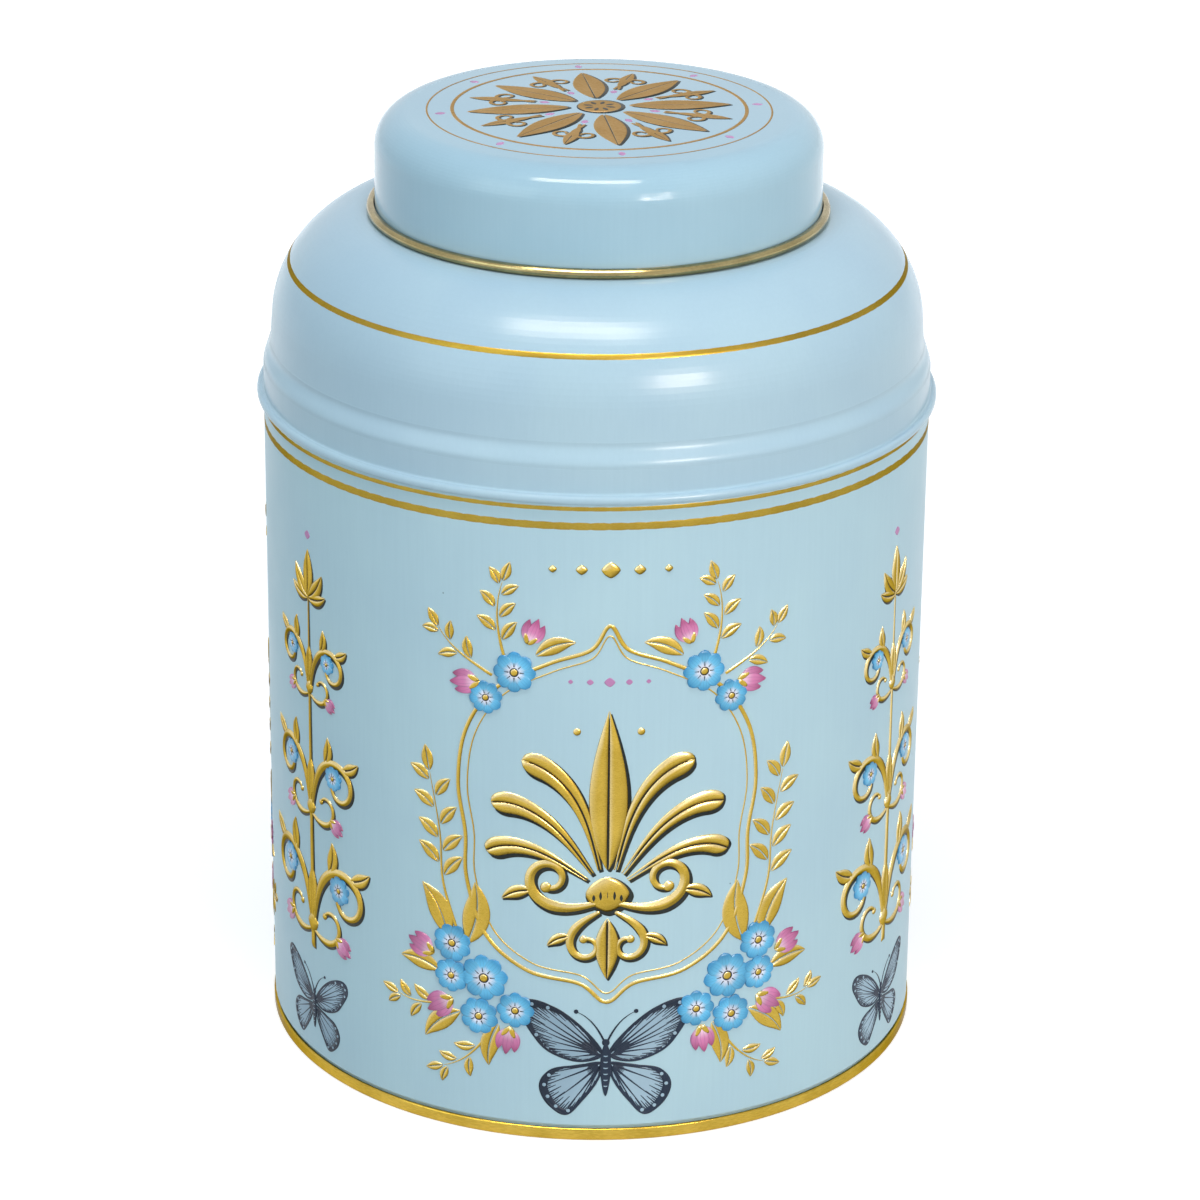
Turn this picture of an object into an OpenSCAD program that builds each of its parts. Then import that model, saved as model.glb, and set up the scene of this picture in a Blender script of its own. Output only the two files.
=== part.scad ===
// Round tinplate tea caddy: a rolled body, a seamed base, a domed shoulder with a
// neck, and a slip cap that lifts off the neck.
// Every piece is one sheet of metal. Its section is drawn as the path of the sheet's
// outer face, with a bend radius at each corner, and the thickness lies on the left
// of the path. The origin is the centre of the resting plane, and +Z is up.

/* [Sheet metal] */
// Thickness of the tinplate
sheet = 0.28; // [0.2:0.01:0.34]
// Gap left between the folded layers of a seam
layer_gap = 0.04; // [0.02:0.01:0.08]

/* [Body] */
// Outside diameter of the body wall
body_d = 150; // [120:1:200]
// Height of the body wall up to the underside of the shoulder seam
body_h = 151.7; // [90:0.1:220]
// Height of the narrowing that lets the base seam lie flush
neck_in_h = 0.9; // [0.6:0.1:2]
// Width of the lock seam along the inside of the wall
side_seam_w = 4.2; // [3:0.1:6]
// Layers of sheet that the lock seam adds on the inside
side_seam_layers = 3; // [1:1:3]
// Length of plain wall left above and below the lock seam
side_seam_notch = 8; // [6:0.5:15]
// Depth of the fine joint line on the outside of the lock seam
joint_line_depth = 0.12; // [0.05:0.01:0.15]
// Width of that joint line
joint_line_w = 0.5; // [0.3:0.1:1]

/* [Base] */
// Height of the double seam round the base
base_seam_h = 2.9; // [2.6:0.1:4]
// How far the double seam stands out from the body wall
base_seam_proud = 0.3; // [0.1:0.05:0.8]
// Bend radius of the double seam's two lower edges
base_seam_r = 0.6; // [0.45:0.05:0.7]
// Length of the two hooks that lock in the double seam
hook_len = 1.7; // [1.4:0.1:1.9]
// Height of the base panel's underside above the resting plane
base_recess = 3.2; // [2.5:0.1:6]
// Bend radius where the panel meets its upright wall
base_panel_r = 1; // [0.5:0.1:2]
// Diameter of the stiffening step pressed in the panel
panel_step_d = 118; // [60:1:130]
// Height of the stiffening step
panel_step_h = 0.8; // [0.4:0.1:1.5]
// Width of the sloping ring of the stiffening step
panel_step_w = 2.4; // [1.5:0.1:5]
// Bend radius at both edges of the stiffening step
panel_step_r = 2; // [0.5:0.1:3]

/* [Shoulder seam] */
// Height of the rolled bead
bead_h = 2; // [2:0.1:3]
// How far the rolled bead stands out from the body wall
bead_proud = 1.5; // [1.5:0.1:2.5]
// Bend radius of the rolled bead
bead_r = 0.9; // [0.75:0.05:0.95]
// Hollow radius between the bead and the skirt above it
bead_root_r = 0.5; // [0.3:0.1:0.5]
// Gap between the end of the roll and the body wall
bead_tip_gap = 0.15; // [0.1:0.05:0.3]

/* [Shoulder] */
// Height of the upright skirt above the bead
skirt_h = 5.7; // [3:0.1:10]
// Height of the sloping step above the skirt
step_h = 5.3; // [3:0.1:8]
// How far the step goes in
step_in = 1.7; // [1:0.1:4]
// Bend radius at the lower edge of the step
step_low_r = 1.2; // [0.5:0.1:3]
// Bend radius at the upper edge of the step
step_high_r = 2; // [0.5:0.1:4]
// Height of the dome from the step to the cap's seat
dome_h = 28.7; // [20:0.1:45]
// Share of the dome's height at which its side meets its sloping crown
dome_side_share = 0.64; // [0.5:0.01:0.75]
// How far the dome's side leans in up to that height
dome_lean = 1.3; // [0.3:0.1:4]
// Bend radius between the dome's side and its crown
dome_r = 25; // [10:1:27]
// Width of the cap's seat, from the neck to the line of the crown
seat_w = 7.25; // [5:0.25:12]
// Bend radius between the crown and the seat
crown_r = 19; // [5:1:20]

/* [Neck] */
// Distance of the neck's mouth below the start of the cap's corner bend
neck_drop = 0.5; // [0.4:0.1:6]
// Hollow radius where the neck rises from the seat
neck_root_r = 0.6; // [0.3:0.1:1]
// Bend radius of the safety hem at the neck's mouth
hem_r = 0.8; // [0.6:0.05:1]
// Depth of the hem's turned-down edge
hem_h = 2.2; // [1.6:0.1:4]

/* [Cap] */
// Outside diameter of the cap's wall
cap_d = 99.5; // [80:0.5:110]
// Height of the cap from its rolled rim to the edge of its top
cap_h = 22.5; // [21:0.5:40]
// Bend radius between the cap's wall and its top
cap_corner_r = 7.6; // [3:0.1:12]
// Rise of the crowned top from its edge to its centre
cap_crown = 1.1; // [0.5:0.1:3]
// Outside diameter of the rolled rim
cap_curl_d = 2.1; // [1.8:0.1:2.8]
// Gap between the end of the rolled rim and the cap's wall
cap_curl_tip_gap = 0.25; // [0.15:0.05:0.4]
// Radial running clearance between the cap and the neck
cap_clearance = 0.12; // [0.08:0.01:0.3]
// Gap between the rolled rim and the cap's seat
seat_gap = 0.05; // [0.03:0.01:0.3]

/* [Hidden] */

// Greatest distance between a bend and the chords that stand for it
chord_error = 0.01;
// Points of a path that are nearer than this count as one
same_point = 0.002;
// Straight length kept between two bends
least_straight = 0.02;
// Overlap of a joined or cutting shape past the face that it meets
bite = 0.1;
$fn = 180;

gold = "darkgoldenrod";
blue = "lightblue";
pale_blue = "powderblue";

body_r = body_d / 2;
cap_r = cap_d / 2;
// A layer of sheet with the gap beside it
layer = sheet + layer_gap;

// Double seam of the base, from the outside inwards: base, body hook, base hook,
// body wall, base. Each radius is that of the layer's outer face.
seam_outer_r = body_r + base_seam_proud;
body_hook_r = seam_outer_r - layer - sheet;
base_hook_r = seam_outer_r - 2 * layer - sheet;
foot_wall_r = seam_outer_r - 3 * layer;
chuck_wall_r = seam_outer_r - 4 * layer - sheet;
seam_fold_r = (seam_outer_r - base_hook_r) / 2 - least_straight / 2;
body_fold_r = (body_hook_r - foot_wall_r) / 2 - least_straight / 2;
body_foot_z = layer + sheet;
panel_low_r = panel_step_d / 2;

// Heights up the shoulder
bead_top_z = body_h + bead_h;
skirt_top_z = bead_top_z + skirt_h;
step_top_z = skirt_top_z + step_h;
seat_z = step_top_z + dome_h;
step_r = body_r - step_in;

// The rolled edge of the body lies one layer inside the rolled edge of the shoulder
inner_bead_r = bead_r - layer - sheet;
body_curl_top_z = bead_top_z - layer - sheet;
body_curl_low_z = body_h + layer + sheet;
body_curl_r = body_r + bead_proud - layer - sheet;
body_curl_tip_r = body_curl_r - inner_bead_r - sheet;

// The dome's two long bends take no more than the length between their corners
neck_r = cap_r - sheet - cap_clearance;
crown_corner = [neck_r + seat_w, seat_z];
dome_corner = [step_r - dome_lean, step_top_z + dome_h * dome_side_share];
dome_foot = [step_r, step_top_z];
seat_start = [neck_r, seat_z];
crown_len = norm(dome_corner - crown_corner);
dome_turn = bend_angle(dome_foot, dome_corner, crown_corner);
crown_turn = bend_angle(dome_corner, crown_corner, seat_start);
long_bends = dome_r * tan(dome_turn / 2) + crown_r * tan(crown_turn / 2);
bend_share = min(1, (crown_len - least_straight) / long_bends);
crown_room = (seat_w - neck_root_r - least_straight) / tan(crown_turn / 2);
dome_room = (norm(dome_corner - dome_foot) - step_high_r) / tan(dome_turn / 2);

// Cap and neck
cap_foot_z = seat_z + seat_gap;
cap_edge_z = cap_foot_z + cap_h;
// The neck ends below the cap's corner, so that the two bends never meet
neck_top_z = cap_edge_z - cap_corner_r - neck_drop;
curl_in_r = cap_curl_d / 2 - sheet - least_straight / 2;
curl_far_r = cap_r + cap_curl_d - 2 * sheet;
curl_low_z = cap_foot_z + sheet;
curl_high_z = cap_foot_z + cap_curl_d - sheet;
// Half of the cap's top slopes up to the crown's corner, which is bent widely
crown_start_r = (cap_r - cap_corner_r) / 2;
cap_top_turn = atan2(cap_crown, cap_r - crown_start_r);
cap_top_r = (crown_start_r - least_straight) / tan(cap_top_turn / 2);

// Unit vector from point a to point b
function toward(a, b) = (b - a) / norm(b - a);
// Unit vector turned a quarter to the left
function left_of(u) = [-u[1], u[0]];
// Vector u turned anticlockwise by angle a
function turned(u, a) = [u[0] * cos(a) - u[1] * sin(a), u[0] * sin(a) + u[1] * cos(a)];
// Signed angle by which a path a, p, b turns at p, positive to the left
function signed_turn(a, p, b) = let (u = toward(a, p), v = toward(p, b))
    atan2(cross(u, v), u * v);
function bend_angle(a, p, b) = abs(signed_turn(a, p, b));
// Chords needed so that a bend stays within the chord error
function bend_steps(r, turn) = max(1, ceil(abs(turn) / (2 * acos(1 - chord_error / r))));

// Stations [point, left normal] of one bend of radius r at corner p
function bend(a, p, b, r) = let (
        u = toward(a, p),
        turn = signed_turn(a, p, b),
        side = turn < 0 ? -1 : 1,
        tangent = r * tan(abs(turn) / 2),
        centre = p - u * tangent + left_of(u) * r * side,
        n = bend_steps(r, turn)
    )
    [for (k = [0 : n]) let (normal = left_of(turned(u, turn * k / n)))
        [centre - normal * r * side, normal]];

// All stations of a path of corners [point, bend radius]. Its ends have radius 0.
function stations(path) = let (last = len(path) - 1)
    concat(
        [[path[0][0], left_of(toward(path[0][0], path[1][0]))]],
        [for (i = [1 : last - 1])
            each bend(path[i - 1][0], path[i][0], path[i + 1][0], path[i][1])],
        [[path[last][0], left_of(toward(path[last - 1][0], path[last][0]))]]
    );

// Stations without repeats
function distinct(s) = [for (i = [0 : len(s) - 1])
    if (i == 0 || norm(s[i][0] - s[max(i - 1, 0)][0]) > same_point) s[i]];

// Section of a sheet whose outer face follows the path, thickness on its left
module sheet_section(path) {
    s = distinct(stations(path));
    n = len(s);
    polygon(concat(
        [for (i = [0 : n - 1]) s[i][0]],
        [for (i = [n - 1 : -1 : 0]) s[i][0] + s[i][1] * sheet]
    ));
}

// A round piece of sheet metal
module spun(path) rotate_extrude() sheet_section(path);

// Sector of a ring about the +Y axis, w wide between radii r1 and r2
module ring_strip(r1, r2, w) {
    intersection() {
        difference() {
            circle(r2);
            circle(r1);
        }
        translate([-w / 2, 0]) square([w, r2 + bite]);
    }
}

// Body: hook of the base seam, flush foot, straight wall and rolled upper edge
module body_wall_sheet() {
    spun([
        [[body_hook_r, body_foot_z + hook_len], 0],
        [[body_hook_r, body_foot_z], body_fold_r],
        [[foot_wall_r, body_foot_z], body_fold_r],
        [[foot_wall_r, base_seam_h + layer_gap], sheet],
        [[body_r, base_seam_h + layer_gap + neck_in_h], sheet],
        [[body_r, body_curl_top_z], sheet],
        [[body_curl_r, body_curl_top_z], inner_bead_r],
        [[body_curl_r, body_curl_low_z], inner_bead_r],
        [[body_curl_tip_r, body_curl_low_z], 0]
    ]);
}

module body_wall() {
    seam_z = base_seam_h + side_seam_notch;
    seam_len = body_h - side_seam_notch - seam_z;
    inner_r = body_r - sheet;
    color(blue) difference() {
        union() {
            body_wall_sheet();
            translate([0, 0, seam_z]) linear_extrude(seam_len)
                ring_strip(inner_r - side_seam_layers * sheet, inner_r + sheet / 2, side_seam_w);
        }
        translate([side_seam_w / 2, 0, seam_z]) linear_extrude(seam_len)
            ring_strip(body_r - joint_line_depth, body_r + bite, joint_line_w);
    }
}

// Base: stepped panel, upright wall and the outer folds of the double seam
module base_plate() {
    panel_z = base_recess;
    color(gold) spun([
        [[0, panel_z + panel_step_h], 0],
        [[panel_low_r - panel_step_w, panel_z + panel_step_h], panel_step_r],
        [[panel_low_r, panel_z], panel_step_r],
        [[chuck_wall_r, panel_z], base_panel_r],
        [[chuck_wall_r, 0], base_seam_r],
        [[seam_outer_r, 0], base_seam_r],
        [[seam_outer_r, base_seam_h], seam_fold_r],
        [[base_hook_r, base_seam_h], seam_fold_r],
        [[base_hook_r, base_seam_h - hook_len], 0]
    ]);
}

// Shoulder: roll round the body's edge, skirt, step, dome, cap's seat and neck
module shoulder() {
    color(pale_blue) spun([
        [[body_r + bead_tip_gap, body_h], 0],
        [[body_r + bead_proud, body_h], bead_r],
        [[body_r + bead_proud, bead_top_z], bead_r],
        [[body_r, bead_top_z], bead_root_r],
        [[body_r, skirt_top_z], step_low_r],
        [dome_foot, step_high_r],
        [dome_corner, min(dome_r * bend_share, dome_room)],
        [crown_corner, min(crown_r * bend_share, crown_room)],
        [seat_start, neck_root_r],
        [[neck_r, neck_top_z], hem_r],
        [[neck_r - 2 * hem_r - least_straight, neck_top_z], hem_r],
        [[neck_r - 2 * hem_r - least_straight, neck_top_z - hem_h], 0]
    ]);
}

// Cap: rolled rim, upright wall, wide corner and crowned top
module cap() {
    color(blue) spun([
        [[cap_r + cap_curl_tip_gap, curl_high_z], 0],
        [[curl_far_r, curl_high_z], curl_in_r],
        [[curl_far_r, curl_low_z], curl_in_r],
        [[cap_r, curl_low_z], curl_in_r],
        [[cap_r, cap_edge_z], cap_corner_r],
        [[crown_start_r, cap_edge_z + cap_crown], cap_top_r],
        [[0, cap_edge_z + cap_crown], 0]
    ]);
}

body_wall();
base_plate();
shoulder();
cap();
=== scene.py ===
"""Looks of a pale blue tinplate tea caddy with gold bands and embossed ornament.

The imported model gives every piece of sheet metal. This script gives the pieces their
lacquer, adds the printed and embossed ornament that follows them, and sets the studio.
"""

import logging
import math
from dataclasses import dataclass, field
from enum import Enum
from typing import Any, Dict, List, Optional, Protocol, Sequence, Tuple

import bpy
import numpy as np
from mathutils import Matrix, Vector
from mathutils.bvhtree import BVHTree

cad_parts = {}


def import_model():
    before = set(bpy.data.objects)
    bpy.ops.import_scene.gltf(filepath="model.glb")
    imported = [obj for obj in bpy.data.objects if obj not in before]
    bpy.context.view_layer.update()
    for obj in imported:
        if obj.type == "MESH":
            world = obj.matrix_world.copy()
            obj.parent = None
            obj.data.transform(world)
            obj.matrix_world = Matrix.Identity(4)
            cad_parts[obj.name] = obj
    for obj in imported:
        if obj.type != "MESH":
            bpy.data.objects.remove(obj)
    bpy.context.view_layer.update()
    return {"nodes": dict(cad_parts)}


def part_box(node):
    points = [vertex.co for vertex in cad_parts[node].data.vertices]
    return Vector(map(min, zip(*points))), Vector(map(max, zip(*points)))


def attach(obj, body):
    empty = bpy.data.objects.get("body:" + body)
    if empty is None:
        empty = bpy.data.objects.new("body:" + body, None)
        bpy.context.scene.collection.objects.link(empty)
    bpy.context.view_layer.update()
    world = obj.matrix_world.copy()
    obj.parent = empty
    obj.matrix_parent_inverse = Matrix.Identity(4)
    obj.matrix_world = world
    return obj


LOG = logging.getLogger("tea_caddy")
MM = 0.001
FULL_TURN = 2 * math.pi
SIDES = (-1, 1)

Colour = Tuple[float, float, float]
Spot = Tuple[float, float, float]
Point = Tuple[float, float]
Socket = bpy.types.NodeSocket


def srgb(red: int, green: int, blue: int) -> Colour:
    """Turns screen colour numbers into the linear colour that nodes work in.

    Args:
        red: Red from 0 to 255.
        green: Green from 0 to 255.
        blue: Blue from 0 to 255.

    Returns:
        The linear colour.
    """
    def linear(level: int) -> float:
        """Linear share of one channel."""
        share = level / 255
        return share / 12.92 if share <= 0.04045 else ((share + 0.055) / 1.055) ** 2.4

    return linear(red), linear(green), linear(blue)


# --------------------------------------------------------------------------- nodes


class Graph:
    """Short names for the node calls that every material and group needs."""

    MIX_SOCKETS = {"FLOAT": (2, 3, 0), "RGBA": (6, 7, 2)}

    def __init__(self, tree: bpy.types.NodeTree) -> None:
        """Starts an empty tree.

        Args:
            tree: The node tree to fill.
        """
        self.tree = tree
        tree.nodes.clear()

    def node(self, kind: str, **settings: Any) -> bpy.types.Node:
        """Adds a node.

        Args:
            kind: Node type without its ShaderNode prefix.
            **settings: Properties of the node.

        Returns:
            The new node.
        """
        made = self.tree.nodes.new(kind if kind.startswith("Node") else "ShaderNode" + kind)
        for name, value in settings.items():
            setattr(made, name, value)
        return made

    def feed(self, target: Socket, value: Any) -> None:
        """Links a socket to an input, or sets the input to a plain value.

        Args:
            target: The input.
            value: An output socket, a number, a colour or a vector.
        """
        if isinstance(value, bpy.types.NodeSocket):
            self.tree.links.new(value, target)
        elif isinstance(value, tuple) and target.type == "RGBA":
            target.default_value = (*value, 1.0)
        else:
            target.default_value = value

    def fill(self, node: bpy.types.Node, **values: Any) -> bpy.types.Node:
        """Feeds a node's inputs.

        Args:
            node: The node.
            **values: Values by the input's name, with _ in place of a space.

        Returns:
            The same node.
        """
        for name, value in values.items():
            self.feed(node.inputs[name.replace("_", " ")], value)
        return node

    def math(self, operation: str, first: Any, *others: Any) -> Socket:
        """Joins values with Math nodes, from left to right.

        Args:
            operation: The operation's name.
            first: The first value.
            *others: The values after it, none for an operation on one value.

        Returns:
            The result.
        """
        for other in others or (0.0,):
            made = self.node("Math", operation=operation)
            self.feed(made.inputs[0], first)
            self.feed(made.inputs[1], other)
            first = made.outputs[0]
        return first

    def mix(self, factor: Any, first: Any, second: Any, kind: str = "RGBA") -> Socket:
        """Adds a Mix node.

        Args:
            factor: Share of the second value.
            first: The value at 0.
            second: The value at 1.
            kind: RGBA for colours, FLOAT for numbers.

        Returns:
            The mixed value.
        """
        made = self.node("Mix", data_type=kind)
        at_first, at_second, result = self.MIX_SOCKETS[kind]
        self.feed(made.inputs[0], factor)
        self.feed(made.inputs[at_first], first)
        self.feed(made.inputs[at_second], second)
        return made.outputs[result]

    def between(self, value: Any, low: Any, high: Any, out_low: float = 0.0,
                out_high: float = 1.0, curve: str = "SMOOTHSTEP") -> Socket:
        """Maps a value from one range to another.

        Args:
            value: The value.
            low: Start of its range.
            high: End of its range.
            out_low: Result at the start.
            out_high: Result at the end.
            curve: SMOOTHSTEP for soft ends, LINEAR for a straight ramp.

        Returns:
            The mapped value.
        """
        made = self.node("MapRange", interpolation_type=curve)
        self.fill(made, Value=value, From_Min=low, From_Max=high, To_Min=out_low, To_Max=out_high)
        return made.outputs["Result"]

    def noise(self, vector: Any, scale: Any, detail: float = 2.0,
              roughness: float = 0.5) -> Socket:
        """Adds a Noise Texture.

        Args:
            vector: Where it is read.
            scale: Its cells per metre.
            detail: Its number of finer layers.
            roughness: Strength of the finer layers.

        Returns:
            Its factor.
        """
        made = self.fill(self.node("TexNoise"), Vector=vector, Scale=scale, Detail=detail,
                         Roughness=roughness)
        return made.outputs["Fac"]

    def stretched(self, vector: Any, height: float) -> Socket:
        """Scales a place along the caddy's axis alone."""
        return self.fill(self.node("Mapping"), Vector=vector, Scale=(1.0, 1.0, height)).outputs[0]

    def split(self, vector: Socket) -> Tuple[Socket, ...]:
        """Splits a vector into its three numbers."""
        return tuple(self.fill(self.node("SeparateXYZ"), Vector=vector).outputs)

    def radius(self, across: Socket, back: Socket) -> Socket:
        """Distance from the caddy's axis."""
        squares = [self.math("MULTIPLY", side, side) for side in (across, back)]
        return self.math("SQRT", self.math("ADD", *squares))

    def shown(self) -> Socket:
        """Finds which rays see the surroundings and don't carry their light.

        Returns:
            1 for rays of the camera, of gloss and through glass, 0 for the rest.
        """
        rays = self.node("LightPath").outputs
        return self.math("MAXIMUM", rays["Is Camera Ray"], rays["Is Glossy Ray"],
                         rays["Is Transmission Ray"])


class GroupGraph(Graph):
    """A node group with named inputs and outputs."""

    def __init__(self, name: str) -> None:
        """Makes an empty group with its two end nodes.

        Args:
            name: Name of the group.
        """
        super().__init__(bpy.data.node_groups.new(name, "ShaderNodeTree"))
        self.start = self.node("NodeGroupInput")
        self.end = self.node("NodeGroupOutput")

    def take(self, **inputs: Any) -> List[Socket]:
        """Adds inputs.

        Args:
            **inputs: The kind of socket, or the default of a number, by the input's name
                with _ in place of a space.

        Returns:
            Their sockets inside the group.
        """
        names = [name.replace("_", " ") for name in inputs]
        for name, given in zip(names, inputs.values()):
            kind = given if isinstance(given, str) else "Float"
            made = self.tree.interface.new_socket(name=name, in_out="INPUT",
                                                  socket_type="NodeSocket" + kind)
            if kind == "Float":
                made.default_value = given
        return [self.start.outputs[name] for name in names]

    def give(self, **outputs: Socket) -> None:
        """Adds outputs.

        Args:
            **outputs: Sockets inside the group by the output's name.
        """
        for name, source in outputs.items():
            kind = "NodeSocketColor" if source.type == "RGBA" else "NodeSocketFloat"
            self.tree.interface.new_socket(name=name, in_out="OUTPUT", socket_type=kind)
            self.tree.links.new(source, self.end.inputs[name])


TONE_SCALE = 26.0
STREAK_SCALE = 1500.0
STREAK_STRETCH = 0.04
STREAK_TONE = srgb(96, 140, 158)
SMEAR_SCALE = 60.0
DUST_SCALE = 95.0
DUST_RARITY = 0.86
DUST_EDGE = (0.01, 0.024)
DUST_TONE = srgb(92, 112, 120)
DUST_HEIGHT = 0.6


def film_group() -> bpy.types.NodeTree:
    """Builds the group for a printed lacquer film.

    Returns:
        The group: slow change of tone, tiny dust marks, gloss and orange peel.
    """
    g = GroupGraph("lacquer_film")
    place, colour, tint, gloss, peel, dust, grain = g.take(
        Place="Vector", Colour="Color", Tint="Color",
        Roughness=0.3, Peel_Scale=900.0, Dust=0.5, Grain=0.03)
    tone = g.between(g.noise(place, TONE_SCALE, 3.0), 0.35, 0.65)
    streaks = g.noise(g.stretched(place, STREAK_STRETCH), STREAK_SCALE, 3.0, 0.6)
    streaks = g.math("MULTIPLY", g.between(streaks, 0.3, 0.7), grain)
    shade = g.mix(streaks, g.mix(tone, colour, tint), STREAK_TONE)
    specks = g.fill(g.node("TexVoronoi", feature="F1"), Vector=place, Scale=DUST_SCALE)
    chance = g.fill(g.node("SeparateColor"), Color=specks.outputs["Color"]).outputs[0]
    spot = g.between(specks.outputs["Distance"], *DUST_EDGE, 1.0, 0.0)
    mark = g.math("MULTIPLY", g.math("GREATER_THAN", chance, DUST_RARITY), spot, dust)
    smear = g.between(g.noise(place, SMEAR_SCALE, 4.0, 0.6), 0.3, 0.7, -0.03, 0.04)
    g.give(Colour=g.mix(mark, shade, DUST_TONE),
           Roughness=g.math("ADD", gloss, smear),
           Height=g.math("ADD", g.noise(place, peel), g.math("MULTIPLY", mark, DUST_HEIGHT)))
    return g.tree


GRAIN_STRETCH = 6.0
CLOUD_SCALE = 120.0
# Colours of the painted highlight and the painted shade on the sides of the embossing.
PAINTED_HIGHLIGHT_TONE = (1.0, 0.93, 0.66)
PAINTED_SHADE_TONE = (0.02, 0.012, 0.0)


def metal_group() -> bpy.types.NodeTree:
    """Builds the group for gold foil and lacquered tinplate.

    Returns:
        The group: uneven tone, fine rolled grain, gloss and grain height, with a painted
        highlight on the sides of the embossing that face a light at the upper left and painted
        shade on the sides that turn from it, picked out by their slope.
    """
    g = GroupGraph("metal_film")
    place, light, deep, gloss, grain, slope = g.take(
        Place="Vector", Light="Color", Deep="Color",
        Roughness=0.25, Grain_Scale=1400.0, Slope=0.0)
    lines = g.noise(g.stretched(place, GRAIN_STRETCH), grain)
    cloud = g.noise(place, CLOUD_SCALE, 3.0)
    uneven = g.math("ADD", g.math("MULTIPLY", cloud, 0.5), g.math("MULTIPLY", lines, 0.5))
    sheet = g.mix(g.between(uneven, 0.3, 0.7), light, deep)
    # Painted highlight: sides whose slope faces a light at the upper left turn towards pale gold.
    painted_highlight = g.between(slope, 0.05, 1.0, 0.0, 0.7)
    sheet = g.mix(painted_highlight, sheet, g.mix(0.62, light, PAINTED_HIGHLIGHT_TONE))
    # Painted shade: sides whose slope turns from that light turn towards near black.
    painted_shade = g.between(slope, -1.0, -0.05, 0.82, 0.0)
    g.give(Colour=g.mix(painted_shade, sheet, g.mix(0.72, deep, PAINTED_SHADE_TONE)),
           Roughness=g.math("ADD", gloss, g.between(lines, 0.3, 0.7, -0.05, 0.07)),
           Height=lines)
    return g.tree


VEIN_TONE = (0.01, 0.03, 0.12)


def bloom_group() -> bpy.types.NodeTree:
    """Builds the group that shades petals and leaves by their own length and width.

    Returns:
        The group: colour from root to tip with darker veins, and their height.
    """
    g = GroupGraph("bloom_shade")
    shape, root, middle, tip, veins, count = g.take(
        Shape="Vector", Root="Color", Middle="Color", Tip="Color", Veins=0.3, Vein_Count=5.0)
    along, across, seed = g.split(shape)
    body = g.mix(g.between(along, 0.08, 0.5), root, middle)
    body = g.mix(g.between(along, 0.45, 1.0), body, tip)
    fan = g.math("MULTIPLY", across, g.math("MULTIPLY", count, math.pi))
    wave = g.math("ABSOLUTE", g.math("SINE", g.math("ADD", fan, g.math("MULTIPLY", seed, 2.0))))
    line = g.math("MULTIPLY", g.between(wave, 0.0, 0.35, 1.0, 0.0), veins)
    edge = g.math("MULTIPLY", g.between(g.math("ABSOLUTE", across), 0.72, 1.0), veins)
    veined = g.mix(g.math("MAXIMUM", line, edge), body, g.mix(0.6, tip, VEIN_TONE))
    lively = g.math("ADD", 0.86, g.math("MULTIPLY", seed, 0.28))
    bright = g.fill(g.node("HueSaturation"), Value=lively, Color=veined)
    g.give(Colour=bright.outputs[0], Height=g.math("SUBTRACT", 1.0, line))
    return g.tree


def bare_group() -> bpy.types.NodeTree:
    """Builds the group that finds where a printed sheet shows its inner lacquer.

    Returns:
        The group: 1 on faces that look inwards and in a stated ring of the section.
    """
    g = GroupGraph("bare_side")
    place, normal, low_r, high_r, low_z, high_z, printed = g.take(
        Place="Vector", Normal="Vector", Ring_Inner_Radius=0.0, Ring_Outer_Radius=0.0,
        Ring_Bottom=0.0, Ring_Top=0.0, Printed_Below=0.0)
    across, back, up = g.split(place)
    look_x, look_y, look_z = g.split(normal)
    radius = g.radius(across, back)
    out = g.math("ADD", g.math("MULTIPLY", look_x, across), g.math("MULTIPLY", look_y, back))
    out = g.math("DIVIDE", out, g.math("MAXIMUM", radius, 1e-5))
    inward = g.math("MULTIPLY", g.math("LESS_THAN", g.math("ADD", out, look_z), 0.0),
                    g.math("GREATER_THAN", up, printed))
    ring = g.math("MULTIPLY", g.math("GREATER_THAN", radius, low_r),
                  g.math("LESS_THAN", radius, high_r), g.math("GREATER_THAN", up, low_z),
                  g.math("LESS_THAN", up, high_z))
    g.give(Bare=g.math("MAXIMUM", inward, ring))
    return g.tree


@dataclass
class Effects:
    """The shared node groups, each built once."""

    film: bpy.types.NodeTree
    metal: bpy.types.NodeTree
    bloom: bpy.types.NodeTree
    bare: bpy.types.NodeTree

    @classmethod
    def build(cls) -> "Effects":
        """Builds all the groups."""
        return cls(film_group(), metal_group(), bloom_group(), bare_group())


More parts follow.
